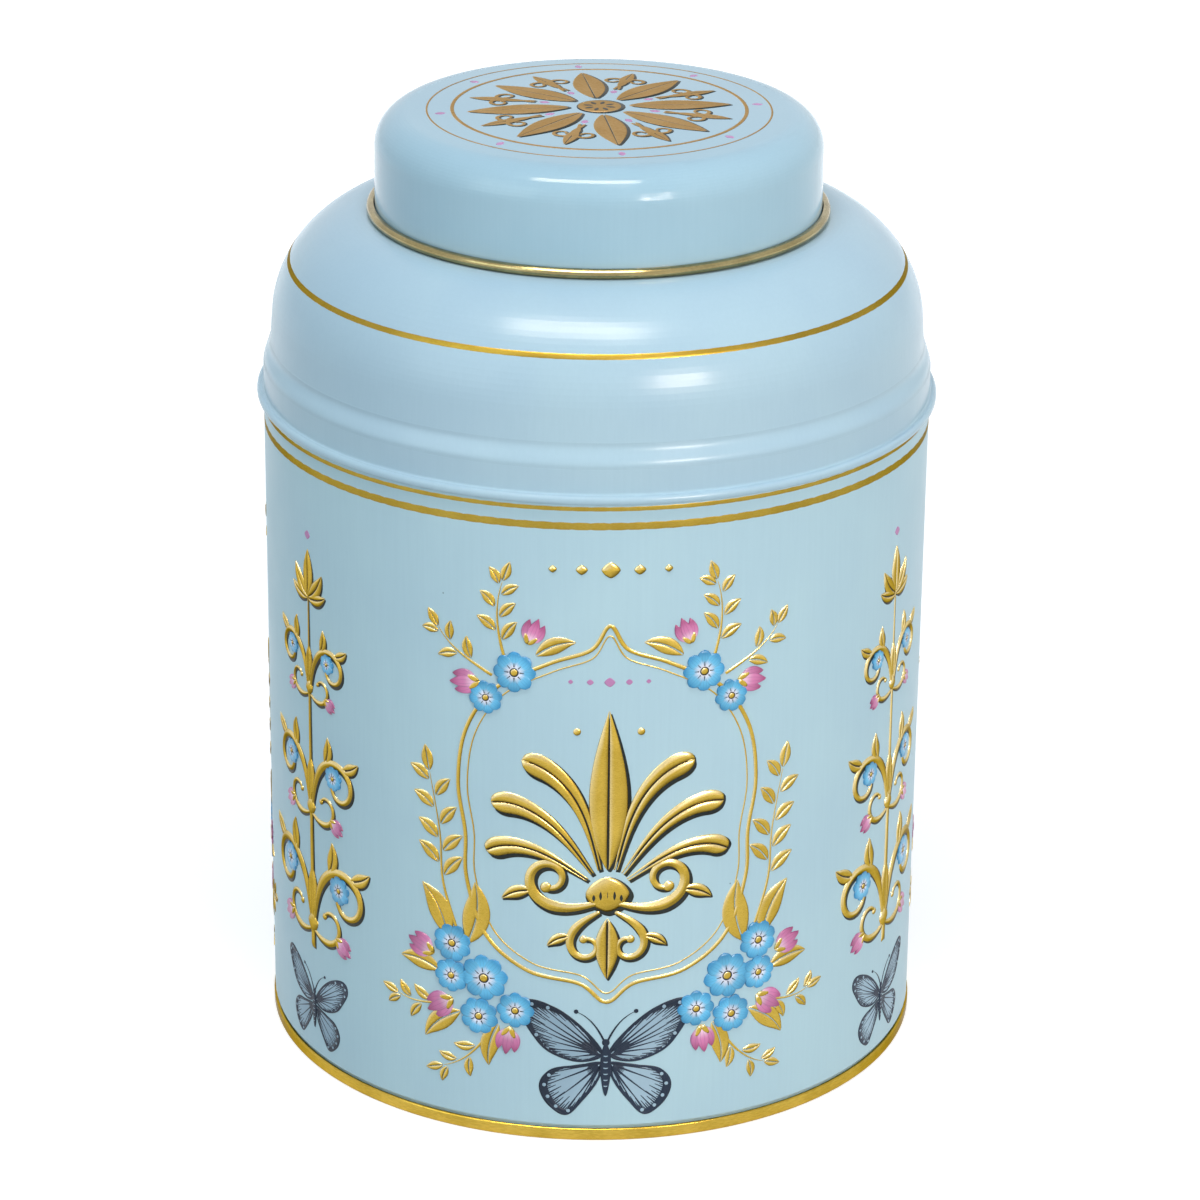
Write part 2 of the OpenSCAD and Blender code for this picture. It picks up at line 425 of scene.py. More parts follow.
class MaterialGraph(Graph):
    """The node tree of one material, with one Principled shader."""

    def __init__(self, name: str) -> None:
        """Makes the material with its output and shader.

        Args:
            name: Name of the material.
        """
        self.material = bpy.data.materials.new(name)
        self.material.use_nodes = True
        super().__init__(self.material.node_tree)
        self.shader = self.node("BsdfPrincipled")
        self.fill(self.node("OutputMaterial"), Surface=self.shader.outputs[0])
        coordinates = self.node("TexCoord").outputs
        self.place = coordinates["Object"]
        self.facing = coordinates["Normal"]

    def use(self, group: bpy.types.NodeTree, **values: Any) -> Any:
        """Places a group.

        Args:
            group: The shared group.
            **values: Input values by name, with _ in place of a space.

        Returns:
            The outputs of the group's node.
        """
        return self.fill(self.node("Group", node_tree=group), **values).outputs

    def attribute(self, name: str) -> Any:
        """Outputs of a node that reads an attribute of the mesh."""
        return self.node("Attribute", attribute_name=name).outputs

    def bump(self, height: Socket, distance: float, under: Optional[Socket] = None) -> Socket:
        """Adds a Bump node.

        Args:
            height: The height, from 0 to 1.
            distance: What a height of 1 stands for, in metres.
            under: Another normal to lie over, None for the surface's own.

        Returns:
            The normal.
        """
        made = self.fill(self.node("Bump"), Height=height, Distance=distance)
        if under is not None:
            self.feed(made.inputs["Normal"], under)
        return made.outputs[0]


# ------------------------------------------------------------------------ finishes


@dataclass(frozen=True)
class BareRing:
    """Part of a sheet's section that shows bare lacquer on both faces, in metres."""

    inner: float = 0.0
    outer: float = 0.0
    bottom: float = 0.0
    top: float = 0.0
    printed_below: float = 0.0


@dataclass(frozen=True)
class Swage:
    """A pressed step in a turned wall, whose two bends the shading rounds. In metres."""

    low: float
    high: float
    drop: float
    bend: float = 0.5 * MM

    def rounded(self, m: MaterialGraph, normal: Socket) -> Socket:
        """Turns the straight slope of the step into an S.

        Args:
            m: The material's graph.
            normal: The normal of the finish.

        Returns:
            The normal with the step's bends.
        """
        height = m.split(m.place)[2]
        straight = m.between(height, self.low, self.high, curve="LINEAR")
        curved = m.between(height, self.low + self.bend, self.high - self.bend)
        return m.bump(m.math("SUBTRACT", straight, curved), self.drop, under=normal)


@dataclass(frozen=True)
class Finish:
    """A named finish, from which one material is built."""

    name: str

    def material(self, effects: Effects) -> bpy.types.Material:
        """Builds the material.

        Args:
            effects: The shared node groups.

        Returns:
            The material.
        """
        m = MaterialGraph(self.name)
        m.fill(m.shader, **self.sockets(m, effects))
        return m.material

    def sockets(self, m: MaterialGraph, effects: Effects) -> Dict[str, Any]:
        """Says what feeds the shader.

        Args:
            m: The material's graph.
            effects: The shared node groups.

        Returns:
            Values by the socket's name, with _ in place of a space.
        """
        raise NotImplementedError


@dataclass(frozen=True)
class Lacquer(Finish):
    """Printed satin lacquer outside, pale gold lacquer on the sheet's inner side."""

    colour: Colour
    tint: Colour
    bare: BareRing
    roughness: float = 0.36
    dust: float = 0.7
    peel_height: float = 0.012 * MM
    specular: float = 0.14
    coat: float = 0.03
    coat_roughness: float = 0.12
    inner_light: Colour = srgb(166, 154, 112)
    inner_deep: Colour = srgb(134, 122, 82)
    inner_roughness: float = 0.17
    swage: Optional[Swage] = None

    def sockets(self, m: MaterialGraph, effects: Effects) -> Dict[str, Any]:
        """Says what feeds the shader.

        Args:
            m: The material's graph.
            effects: The shared node groups.

        Returns:
            Values by the socket's name.
        """
        film = m.use(effects.film, Place=m.place, Colour=self.colour, Tint=self.tint,
                     Roughness=self.roughness, Dust=self.dust)
        metal = m.use(effects.metal, Place=m.place, Light=self.inner_light,
                      Deep=self.inner_deep, Roughness=self.inner_roughness)
        side = m.use(effects.bare, Place=m.place, Normal=m.facing,
                     Ring_Inner_Radius=self.bare.inner, Ring_Outer_Radius=self.bare.outer,
                     Ring_Bottom=self.bare.bottom, Ring_Top=self.bare.top,
                     Printed_Below=self.bare.printed_below)["Bare"]
        grain = m.bump(film["Height"], self.peel_height)
        return dict(Base_Color=m.mix(side, film["Colour"], metal["Colour"]),
                    Metallic=side,
                    Roughness=m.mix(side, film["Roughness"], metal["Roughness"], "FLOAT"),
                    Specular_IOR_Level=self.specular,
                    Coat_Weight=self.coat,
                    Coat_Roughness=self.coat_roughness,
                    Normal=self.swage.rounded(m, grain) if self.swage else grain)


@dataclass(frozen=True)
class Gold(Finish):
    """Shiny gold foil or gold lacquer on tinplate."""

    light: Colour = srgb(196, 165, 72)
    deep: Colour = srgb(170, 141, 51)
    roughness: float = 0.27
    grain: float = 1400.0
    grain_height: float = 0.006 * MM
    edge: Colour = (0.5, 0.45, 0.36)

    def sockets(self, m: MaterialGraph, effects: Effects) -> Dict[str, Any]:
        """Says what feeds the shader.

        Args:
            m: The material's graph.
            effects: The shared node groups.

        Returns:
            Values by the socket's name.
        """
        # Embossed gold takes its painted highlight and painted shade from the mesh attribute read
        # here.
        metal = m.use(effects.metal, Place=m.place, Light=self.light, Deep=self.deep,
                      Roughness=self.roughness, Grain_Scale=self.grain,
                      Slope=m.attribute(ReliefSheet.PAINTED_LIGHT)["Fac"])
        return dict(Base_Color=metal["Colour"],
                    Metallic=1.0,
                    Roughness=metal["Roughness"],
                    Specular_Tint=self.edge,
                    Normal=m.bump(metal["Height"], self.grain_height))


@dataclass(frozen=True)
class Bloom(Finish):
    """Printed petals with veins, under a thin clear coat."""

    root: Colour
    middle: Colour
    tip: Colour
    veins: float = 0.35
    vein_count: float = 2.5
    vein_height: float = 0.02 * MM
    roughness: float = 0.34
    coat: float = 0.2
    coat_roughness: float = 0.16

    def sockets(self, m: MaterialGraph, effects: Effects) -> Dict[str, Any]:
        """Says what feeds the shader.

        Args:
            m: The material's graph.
            effects: The shared node groups.

        Returns:
            Values by the socket's name.
        """
        bloom = m.use(effects.bloom, Shape=m.attribute(ReliefSheet.SHAPE)["Vector"],
                      Root=self.root, Middle=self.middle, Tip=self.tip,
                      Veins=self.veins, Vein_Count=self.vein_count)
        film = m.use(effects.film, Place=m.place, Colour=bloom["Colour"], Tint=bloom["Colour"],
                     Roughness=self.roughness, Dust=0.0)
        return dict(Base_Color=film["Colour"],
                    Roughness=film["Roughness"],
                    Coat_Weight=self.coat,
                    Coat_Roughness=self.coat_roughness,
                    Normal=m.bump(bloom["Height"], self.vein_height))


@dataclass(frozen=True)
class Ink(Finish):
    """Flat printed ink."""

    colour: Colour
    tint: Colour
    roughness: float = 0.4
    specular: float = 0.2
    peel_height: float = 0.006 * MM

    def sockets(self, m: MaterialGraph, effects: Effects) -> Dict[str, Any]:
        """Says what feeds the shader.

        Args:
            m: The material's graph.
            effects: The shared node groups.

        Returns:
            Values by the socket's name.
        """
        film = m.use(effects.film, Place=m.place, Colour=self.colour, Tint=self.tint,
                     Roughness=self.roughness, Dust=0.0)
        return dict(Base_Color=film["Colour"],
                    Roughness=film["Roughness"],
                    Specular_IOR_Level=self.specular,
                    Normal=m.bump(film["Height"], self.peel_height))


class Paint(Enum):
    """The finishes that the ornament is printed in."""

    FOIL = Gold("gold_foil")
    BLUE = Bloom("blue_petals", srgb(234, 236, 247), srgb(96, 186, 225), srgb(38, 138, 188))
    PINK = Bloom("pink_petals", srgb(240, 202, 222), srgb(206, 118, 166), srgb(162, 58, 112),
                 vein_count=1.5)
    ROSE = Ink("rose_ink", srgb(186, 126, 172), srgb(196, 140, 184))
    INK = Ink("engraving_ink", srgb(26, 34, 48), srgb(40, 50, 68))
    WASH = Ink("engraving_wash", srgb(142, 168, 184), srgb(166, 192, 206))
    SHADE = Ink("outline_ink", srgb(24, 30, 28), srgb(38, 42, 36))
    BAND = Gold("band_gold", srgb(162, 139, 59), srgb(143, 120, 44), roughness=0.38)
    TAN = Gold("cap_gold_print", srgb(184, 158, 118), srgb(168, 140, 98), roughness=0.5,
               grain_height=0.004 * MM)


@dataclass
class Dressing:
    """Materials by finish, each built once."""

    effects: Effects
    made: Dict[str, bpy.types.Material] = field(default_factory=dict)

    def finish(self, finish: Finish) -> bpy.types.Material:
        """Finds the material of a finish, made when it is first asked for.

        Args:
            finish: The finish.

        Returns:
            The material.
        """
        if finish.name not in self.made:
            self.made[finish.name] = finish.material(self.effects)
        return self.made[finish.name]

    def paint(self, paint: Paint) -> bpy.types.Material:
        """The material of a paint."""
        return self.finish(paint.value)


# ------------------------------------------------------------------------- surfaces


def linked(name: str, data: bpy.types.ID) -> bpy.types.Object:
    """Makes an object of a mesh, a lamp or a camera and links it to the scene.

    Args:
        name: Name of the object.
        data: What it shows.

    Returns:
        The object.
    """
    made = bpy.data.objects.new(name, data)
    bpy.context.scene.collection.objects.link(made)
    return made


def skin(name: str, points: np.ndarray, faces: Sequence[Sequence[int]],
         material: bpy.types.Material) -> bpy.types.Object:
    """Makes a smooth mesh object.

    Args:
        name: Name of the object.
        points: Its points in metres, one row each.
        faces: Point numbers of each face.
        material: Its material.

    Returns:
        The object.
    """
    mesh = bpy.data.meshes.new(name)
    mesh.from_pydata(points.tolist(), [], faces)
    mesh.materials.append(material)
    mesh.shade_smooth()
    return linked(name, mesh)


def grid_faces(numbers: np.ndarray, loop_rows: bool = False,
               loop_columns: bool = False) -> List[List[int]]:
    """Joins a grid of points with four-sided faces.

    Args:
        numbers: The points' numbers, in rows and columns.
        loop_rows: True if the last row joins the first.
        loop_columns: True if the last column joins the first.

    Returns:
        Point numbers of each face.
    """
    if loop_rows:
        numbers = np.concatenate([numbers, numbers[:1]])
    if loop_columns:
        numbers = np.concatenate([numbers, numbers[:, :1]], 1)
    corners = numbers[:-1, :-1], numbers[1:, :-1], numbers[1:, 1:], numbers[:-1, 1:]
    return np.stack(corners, -1).reshape(-1, 4).tolist()


def round_axis(reach: np.ndarray, angle: np.ndarray, up: np.ndarray) -> np.ndarray:
    """Points at distances from the caddy's axis, where angle 0 faces the front."""
    return np.stack([reach * np.sin(angle), -reach * np.cos(angle), up], -1)


class Probe:
    """Finds the outer surface of a round CAD node by casting rays at it."""

    SAMPLES = 160
    NUDGE = 1e-6

    def __init__(self, node: bpy.types.Object) -> None:
        """Reads the node's mesh.

        Args:
            node: A CAD node's object.
        """
        mesh = node.data
        self.tree = BVHTree.FromPolygons([v.co.copy() for v in mesh.vertices],
                                         [tuple(p.vertices) for p in mesh.polygons])

    def radius(self, height: float) -> float:
        """Outer radius at a height, in metres, met from the front."""
        return -self.tree.ray_cast(Vector((0, -1, height)), Vector((0, 1, 0)))[0].y

    def heights(self, radii: np.ndarray) -> np.ndarray:
        """Finds the top face.

        Args:
            radii: Distances from the axis, in metres.

        Returns:
            The face's height at each of them, in metres.
        """
        steps = np.linspace(0.0, float(radii.max()) + self.NUDGE, self.SAMPLES)
        down = Vector((0, 0, -1))
        found = [self.tree.ray_cast(Vector((r + self.NUDGE, 0, 1)), down)[0].z for r in steps]
        return np.interp(radii, steps, found)


class Wrap(Protocol):
    """A surface that flat ornament is laid on."""

    def place(self, flat: np.ndarray) -> np.ndarray:
        """Gives points in metres for rows of millimetres across, up and off the surface."""


@dataclass(frozen=True)
class WallWrap:
    """The body's wall. Azimuth 0 is the front, and it grows to the right."""

    radius: float
    azimuth: float

    def place(self, flat: np.ndarray) -> np.ndarray:
        """Wraps the ornament round the wall.

        Args:
            flat: Rows of millimetres along the wall from the panel's middle, over the
                resting plane and off the wall.

        Returns:
            The points in metres.
        """
        across, up, lift = flat.T
        angle = math.radians(self.azimuth) + across * MM / self.radius
        return round_axis(self.radius + lift * MM, angle, up * MM)


@dataclass(frozen=True)
class TopWrap:
    """The cap's crowned top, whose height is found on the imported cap."""

    probe: Probe
    turn: float

    def place(self, flat: np.ndarray) -> np.ndarray:
        """Lays the ornament on the cap's top.

        Args:
            flat: Rows of millimetres to the right of the cap's middle, behind it and off
                the surface.

        Returns:
            The points in metres.
        """
        across, up, lift = flat.T
        turn = math.radians(self.turn)
        x = (across * math.cos(turn) - up * math.sin(turn)) * MM
        y = (across * math.sin(turn) + up * math.cos(turn)) * MM
        return np.stack([x, y, self.probe.heights(np.hypot(x, y)) + lift * MM], -1)


# ------------------------------------------------------------------ flat ornament


def bezier(points: Sequence[Point], count: int = 24) -> np.ndarray:
    """Samples a Bezier curve of any degree.

    Args:
        points: Its control points.
        count: Number of samples.

    Returns:
        The samples, one row each.
    """
    t = np.linspace(0, 1, count)[:, None]
    degree = len(points) - 1
    terms = [math.comb(degree, i) * (1 - t) ** (degree - i) * t ** i * np.array(p, float)
             for i, p in enumerate(points)]
    return np.sum(terms, 0)


def through(points: Sequence[Point], per_span: int, closed: bool = False) -> np.ndarray:
    """Runs a smooth curve through points.

    Args:
        points: The points that it passes.
        per_span: Samples between two points.
        closed: True for a loop.

    Returns:
        The samples, one row each, without a repeat at the end of a loop.
    """
    p = np.array(points, float)
    last = len(p) - 1
    t = np.linspace(0, 1, per_span, endpoint=False)[:, None]
    spans = []
    for i in range(last + 1 if closed else last):
        near = range(i - 1, i + 3)
        a, b, c, d = p[[k % (last + 1) if closed else min(max(k, 0), last) for k in near]]
        spans.append(0.5 * (2 * b + (c - a) * t + (2 * a - 5 * b + 4 * c - d) * t ** 2
                            + (3 * b - a - 3 * c + d) * t ** 3))
    return np.concatenate(spans if closed else spans + [p[-1:]])


def scroll(start: Point, heading: float, length: float, bend: Point,
           count: int) -> np.ndarray:
    """Draws a curve whose bend changes evenly, as a vine's tendril does.

    Args:
        start: Its first point.
        heading: Its first direction in degrees, anticlockwise from the right.
        length: Its length in millimetres.
        bend: Bend at its start and end, in degrees per millimetre, positive to the left.
        count: Number of samples.

    Returns:
        The samples, one row each.
    """
    s = np.linspace(0, length, count)
    angle = np.radians(heading + bend[0] * s + (bend[1] - bend[0]) * s ** 2 / (2 * length))
    ahead = np.stack([np.cos(angle), np.sin(angle)], -1)
    steps = (ahead[1:] + ahead[:-1]) / 2 * (length / (count - 1))
    return np.concatenate([[(0, 0)], np.cumsum(steps, 0)]) + np.array(start)


def polar(centre: Point, angle: float, distance: float) -> Point:
    """Point at a distance and a direction in degrees from a centre."""
    return (centre[0] + distance * math.cos(math.radians(angle)),
            centre[1] + distance * math.sin(math.radians(angle)))


def direction(step: np.ndarray) -> float:
    """Direction of a step in degrees, anticlockwise from the right."""
    return math.degrees(math.atan2(step[1], step[0]))


class Relief(Enum):
    """How a shape stands out across its width."""

    ROUND = "round"
    RIDGE = "ridge"
    CUP = "cup"
    FLAT = "flat"

    def section(self) -> Tuple[np.ndarray, np.ndarray]:
        """Gives the section.

        Returns:
            Places across from -1 to 1, and the share of the rise at each, below 0 where
            the border is sunk.
        """
        if self is Relief.FLAT:
            return np.array([-1, -0.999, 0, 0.999, 1]), np.array([-1.0, 1.0, 1.0, 1.0, -1.0])
        t = np.sin(np.radians(np.linspace(-90, 90, 11)))
        lift = np.sqrt(np.clip(1 - t ** 2, 0, 1))
        if self is Relief.RIDGE:
            lift = 1 - 0.85 * np.abs(t)
        if self is Relief.CUP:
            lift = lift * (0.7 + 0.3 * t ** 2)
        lift[[0, -1]] = -1.0
        return t, lift


class Taper(Enum):
    """How wide a shape is along its length, as a share of its half width."""

    LEAF = "leaf"
    PALM = "palm"
    PETAL = "petal"
    STEM = "stem"
    VOLUTE = "volute"
    EVEN = "even"

    def widths(self, s: np.ndarray) -> np.ndarray:
        """Gives the widths.

        Args:
            s: Shares of the length.

        Returns:
            The share of the half width at each of them.
        """
        if self is Taper.LEAF:
            return np.maximum(np.sin(np.pi * s ** 0.85) ** 0.95, 0.01)
        if self is Taper.PALM:
            end = np.sqrt(np.clip(1 - (np.clip(s - 0.84, 0, 1) / 0.16) ** 2, 0, 1))
            return np.maximum((0.14 + 0.86 * s ** 1.25) * end, 0.01)
        if self is Taper.PETAL:
            return np.maximum(np.sin(np.pi * np.clip(0.08 + 0.92 * s ** 1.5, 0, 1)) ** 0.62, 0.01)
        if self is Taper.STEM:
            return np.clip(1.15 - s, 0.12, 1.0)
        if self is Taper.VOLUTE:
            return np.clip(0.35 + 2.2 * s, 0, 1) * (1 - 0.62 * s ** 1.4)
        return np.ones_like(s)


@dataclass
class Patch:
    """A grid of points (across, up, lift) with its length, width and seed, and the painted light
    and shade of its slope.
    """

    grid: np.ndarray
    shape: np.ndarray
    slope: np.ndarray
    loop_rows: bool = False
    loop_columns: bool = False


class ReliefSheet:
    """Shapes of one paint on one surface, gathered into one mesh.

    The border of every shape is sunk into the surface, so that none hangs over a gap.
    """

    SHAPE = "shape"
    # Attribute that carries the painted highlight and painted shade of the embossing.
    PAINTED_LIGHT = "slope"
    SINK = 0.05
    END_RISE = 1.6
    # Strength and direction of the light at the upper left whose highlight and shade are painted.
    PAINTED_LIGHT_GAIN = 3.2
    PAINTED_LIGHT_SIDE = np.array([-0.5, 0.866])
    HALF_LEAF = np.array([0.0, 0.001, 0.06, 0.2, 0.4, 0.6, 0.78, 0.9, 0.999, 1.0])
    PILLOW = np.array([-1.0, 0.2, 0.55, 0.88, 1.0, 0.93, 0.7, 0.42, 0.12, -1.0])
    RINGS = 6
    GEM_CORNERS = 40

    def __init__(self, seed: int) -> None:
        """Starts an empty sheet.

        Args:
            seed: Seed of the small differences between shapes.
        """
        self.patches: List[Patch] = []
        self.random = np.random.default_rng(seed)

    @staticmethod
    def sides(line: np.ndarray, loop: bool = False) -> np.ndarray:
        """Finds which way is left along a line.

        Args:
            line: Points of the line.
            loop: True if it closes on itself.

        Returns:
            The left-hand direction at each point.
        """
        ahead = np.roll(line, -1, 0) - np.roll(line, 1, 0) if loop else np.gradient(line, axis=0)
        ahead = ahead / np.maximum(np.linalg.norm(ahead, axis=1, keepdims=True), 1e-9)
        return np.stack([-ahead[:, 1], ahead[:, 0]], -1)

    def heights(self, lift: np.ndarray, ends: np.ndarray, rise: float,
                base: float) -> np.ndarray:
        """Finds how far each point of a grid is off the surface.

        Args:
            lift: Share of the rise across the shape, below 0 where the border is sunk.
            ends: Share of the rise along it.
            rise: Height over its base.
            base: Height of its base.

        Returns:
            The heights, in rows along the shape.
        """
        return np.where(lift < 0, -self.SINK, base + rise * np.maximum(lift, 0) * ends[:, None])

    def ribbon(self, line: np.ndarray, half_width: float, rise: float, base: float = 0.0,
               relief: Relief = Relief.ROUND, taper: Taper = Taper.EVEN,
               loop: bool = False) -> None:
        """Adds a shape that follows a line.

        Args:
            line: Points of its middle line.
            half_width: Greatest half width, in millimetres.
            rise: Height over its base, in millimetres.
            base: Height of its base off the surface, in millimetres.
            relief: Its section.
            taper: Its width along the line.
            loop: True if the line closes on itself.
        """
        s = np.linspace(0, 1, len(line))
        width = half_width * taper.widths(s)
        t, lift = relief.section()
        reach = t[:, None] * width[:, None, None]
        ends = np.minimum(1.0, width / half_width * self.END_RISE)
        off = self.heights(lift, np.ones_like(s) if taper is Taper.EVEN else ends, rise, base)
        if not loop:
            off[[0, -1]] = -self.SINK
        self.add(line[:, None] + self.sides(line, loop)[:, None] * reach, off, s, t,
                 loop_rows=loop)

    def blade(self, line: np.ndarray, half_width: float, rise: float, base: float,
              taper: Taper = Taper.LEAF, gap: float = 0.2) -> None:
        """Adds a leaf in two pillowed halves with a bare midrib between them.

        Args:
            line: Points of its midrib.
            half_width: Greatest half width, in millimetres.
            rise: Height of the halves over the base, in millimetres.
            base: Height of its base off the surface, in millimetres.
            taper: Its width along the midrib.
            gap: Half width of the midrib, in millimetres.
        """
        s = np.linspace(0, 1, len(line))
        width = half_width * taper.widths(s)
        inner = np.minimum(gap * (1 - 0.6 * s), 0.4 * width)
        reach = inner[:, None] + (width - inner)[:, None] * self.HALF_LEAF
        ends = np.minimum(1.0, width / half_width * self.END_RISE)
        off = self.heights(self.PILLOW, ends, rise, base)
        off[[0, -1]] = -self.SINK
        left = self.sides(line)[:, None]
        for side in SIDES:
            flat = line[:, None] + side * left * reach[..., None]
            self.add(flat[:, ::side], off[:, ::side], s, (side * self.HALF_LEAF)[::side])

    def radial(self, centre: Point, outline: np.ndarray, rise: float, base: float,
               dome: float) -> None:
        """Adds a shape that fills an outline round a centre.

        Args:
            centre: A point that sees the whole outline.
            outline: The closed outline, anticlockwise.
            rise: Height of its middle over its base, in millimetres.
            base: Height of its base off the surface, in millimetres.
            dome: Power of the dome. 0 is flat.
        """
        share = np.append(np.linspace(0.001, 0.998, self.RINGS), 1.0)
        middle = np.array(centre, float)
        lift = base + rise * np.clip(1 - share ** 2, 0, 1) ** dome
        lift[-1] = -self.SINK
        self.add(middle + (outline[None] - middle) * share[:, None, None], lift[:, None], share,
                 np.linspace(-1, 1, len(outline)), loop_columns=True)

    def gem(self, centre: Point, half: Point, rise: float, base: float, power: float = 1.4,
            turn: float = 0.0) -> None:
        """Adds a domed lozenge.

        Args:
            centre: Its middle.
            half: Half its width and half its height, in millimetres.
            rise: Height of its middle, in millimetres.
            base: Height of its base off the surface, in millimetres.
            power: 1 is a straight lozenge, 2 is an oval.
            turn: Turn in degrees, anticlockwise.
        """
        angle = np.linspace(0, FULL_TURN, self.GEM_CORNERS, endpoint=False)
        x, y = (size * np.sign(wave) * np.abs(wave) ** (2 / power)
                for size, wave in zip(half, (np.cos(angle), np.sin(angle))))
        c, s = math.cos(math.radians(turn)), math.sin(math.radians(turn))
        outline = np.stack([x * c - y * s, x * s + y * c], -1)
        self.radial(centre, outline + np.array(centre), rise, base, dome=0.7)

    def disc(self, centre: Point, radius: float, rise: float, base: float) -> None:
        """Adds a domed round dot, with sizes as for a lozenge."""
        self.gem(centre, (radius, radius), rise, base, power=2)

    def add(self, flat: np.ndarray, off: np.ndarray, along: np.ndarray, across: np.ndarray,
            loop_rows: bool = False, loop_columns: bool = False) -> None:
        """Adds a grid of points with a seed of its own and the painted light and shade of its
        slope.

        Args:
            flat: Points on the flat surface, in rows and columns.
            off: Their heights off it, in millimetres.
            along: Share of the shape's length at each row.
            across: Share of its half width at each column.
            loop_rows: True if the last row joins the first.
            loop_columns: True if the last column joins the first.
        """
        off = np.broadcast_to(off, flat.shape[:2])
        grid = np.concatenate([flat, off[..., None]], -1)
        wrapped = np.concatenate([grid[:, -1:], grid, grid[:, :1]], 1) if loop_columns else grid
        down, over = np.gradient(wrapped, axis=(0, 1))
        if loop_columns:
            down, over = down[:, 1:-1], over[:, 1:-1]
        normal = np.cross(down, over)
        normal *= np.sign(normal[..., 2:] + 1e-12)
        normal /= np.maximum(np.linalg.norm(normal, axis=-1, keepdims=True), 1e-12)
        # Painted light and shade: how far each point's slope faces the upper left, from -1
        # (painted shade) to 1 (painted highlight).
        slope = np.tanh(self.PAINTED_LIGHT_GAIN * (normal[..., :2] @ self.PAINTED_LIGHT_SIDE))
        seed = np.full(off.shape, self.random.random())
        shape = np.stack([*np.broadcast_arrays(along[:, None], across), seed], -1)
        self.patches.append(Patch(grid, shape, slope, loop_rows, loop_columns))

    def build(self, name: str, wrap: Wrap, material: bpy.types.Material) -> bpy.types.Object:
        """Makes the mesh object.

        Args:
            name: Name of the object.
            wrap: The surface that it lies on.
            material: Its material.

        Returns:
            The object, in metres in the frame.
        """
        faces: List[List[int]] = []
        first = 0
        for patch in self.patches:
            rows, columns = patch.grid.shape[:2]
            numbers = first + np.arange(rows * columns).reshape(rows, columns)
            faces.extend(grid_faces(numbers, patch.loop_rows, patch.loop_columns))
            first += rows * columns
        points = np.concatenate([wrap.place(p.grid.reshape(-1, 3)) for p in self.patches])
        made = skin(name, points, faces, material)
        for attribute, kind, key in ((self.SHAPE, "FLOAT_VECTOR", "vector"),
                                     (self.PAINTED_LIGHT, "FLOAT", "value")):
            values = np.concatenate([getattr(p, attribute).ravel() for p in self.patches])
            layer = made.data.attributes.new(attribute, kind, "POINT")
            layer.data.foreach_set(key, values.astype(np.float32))
        return made


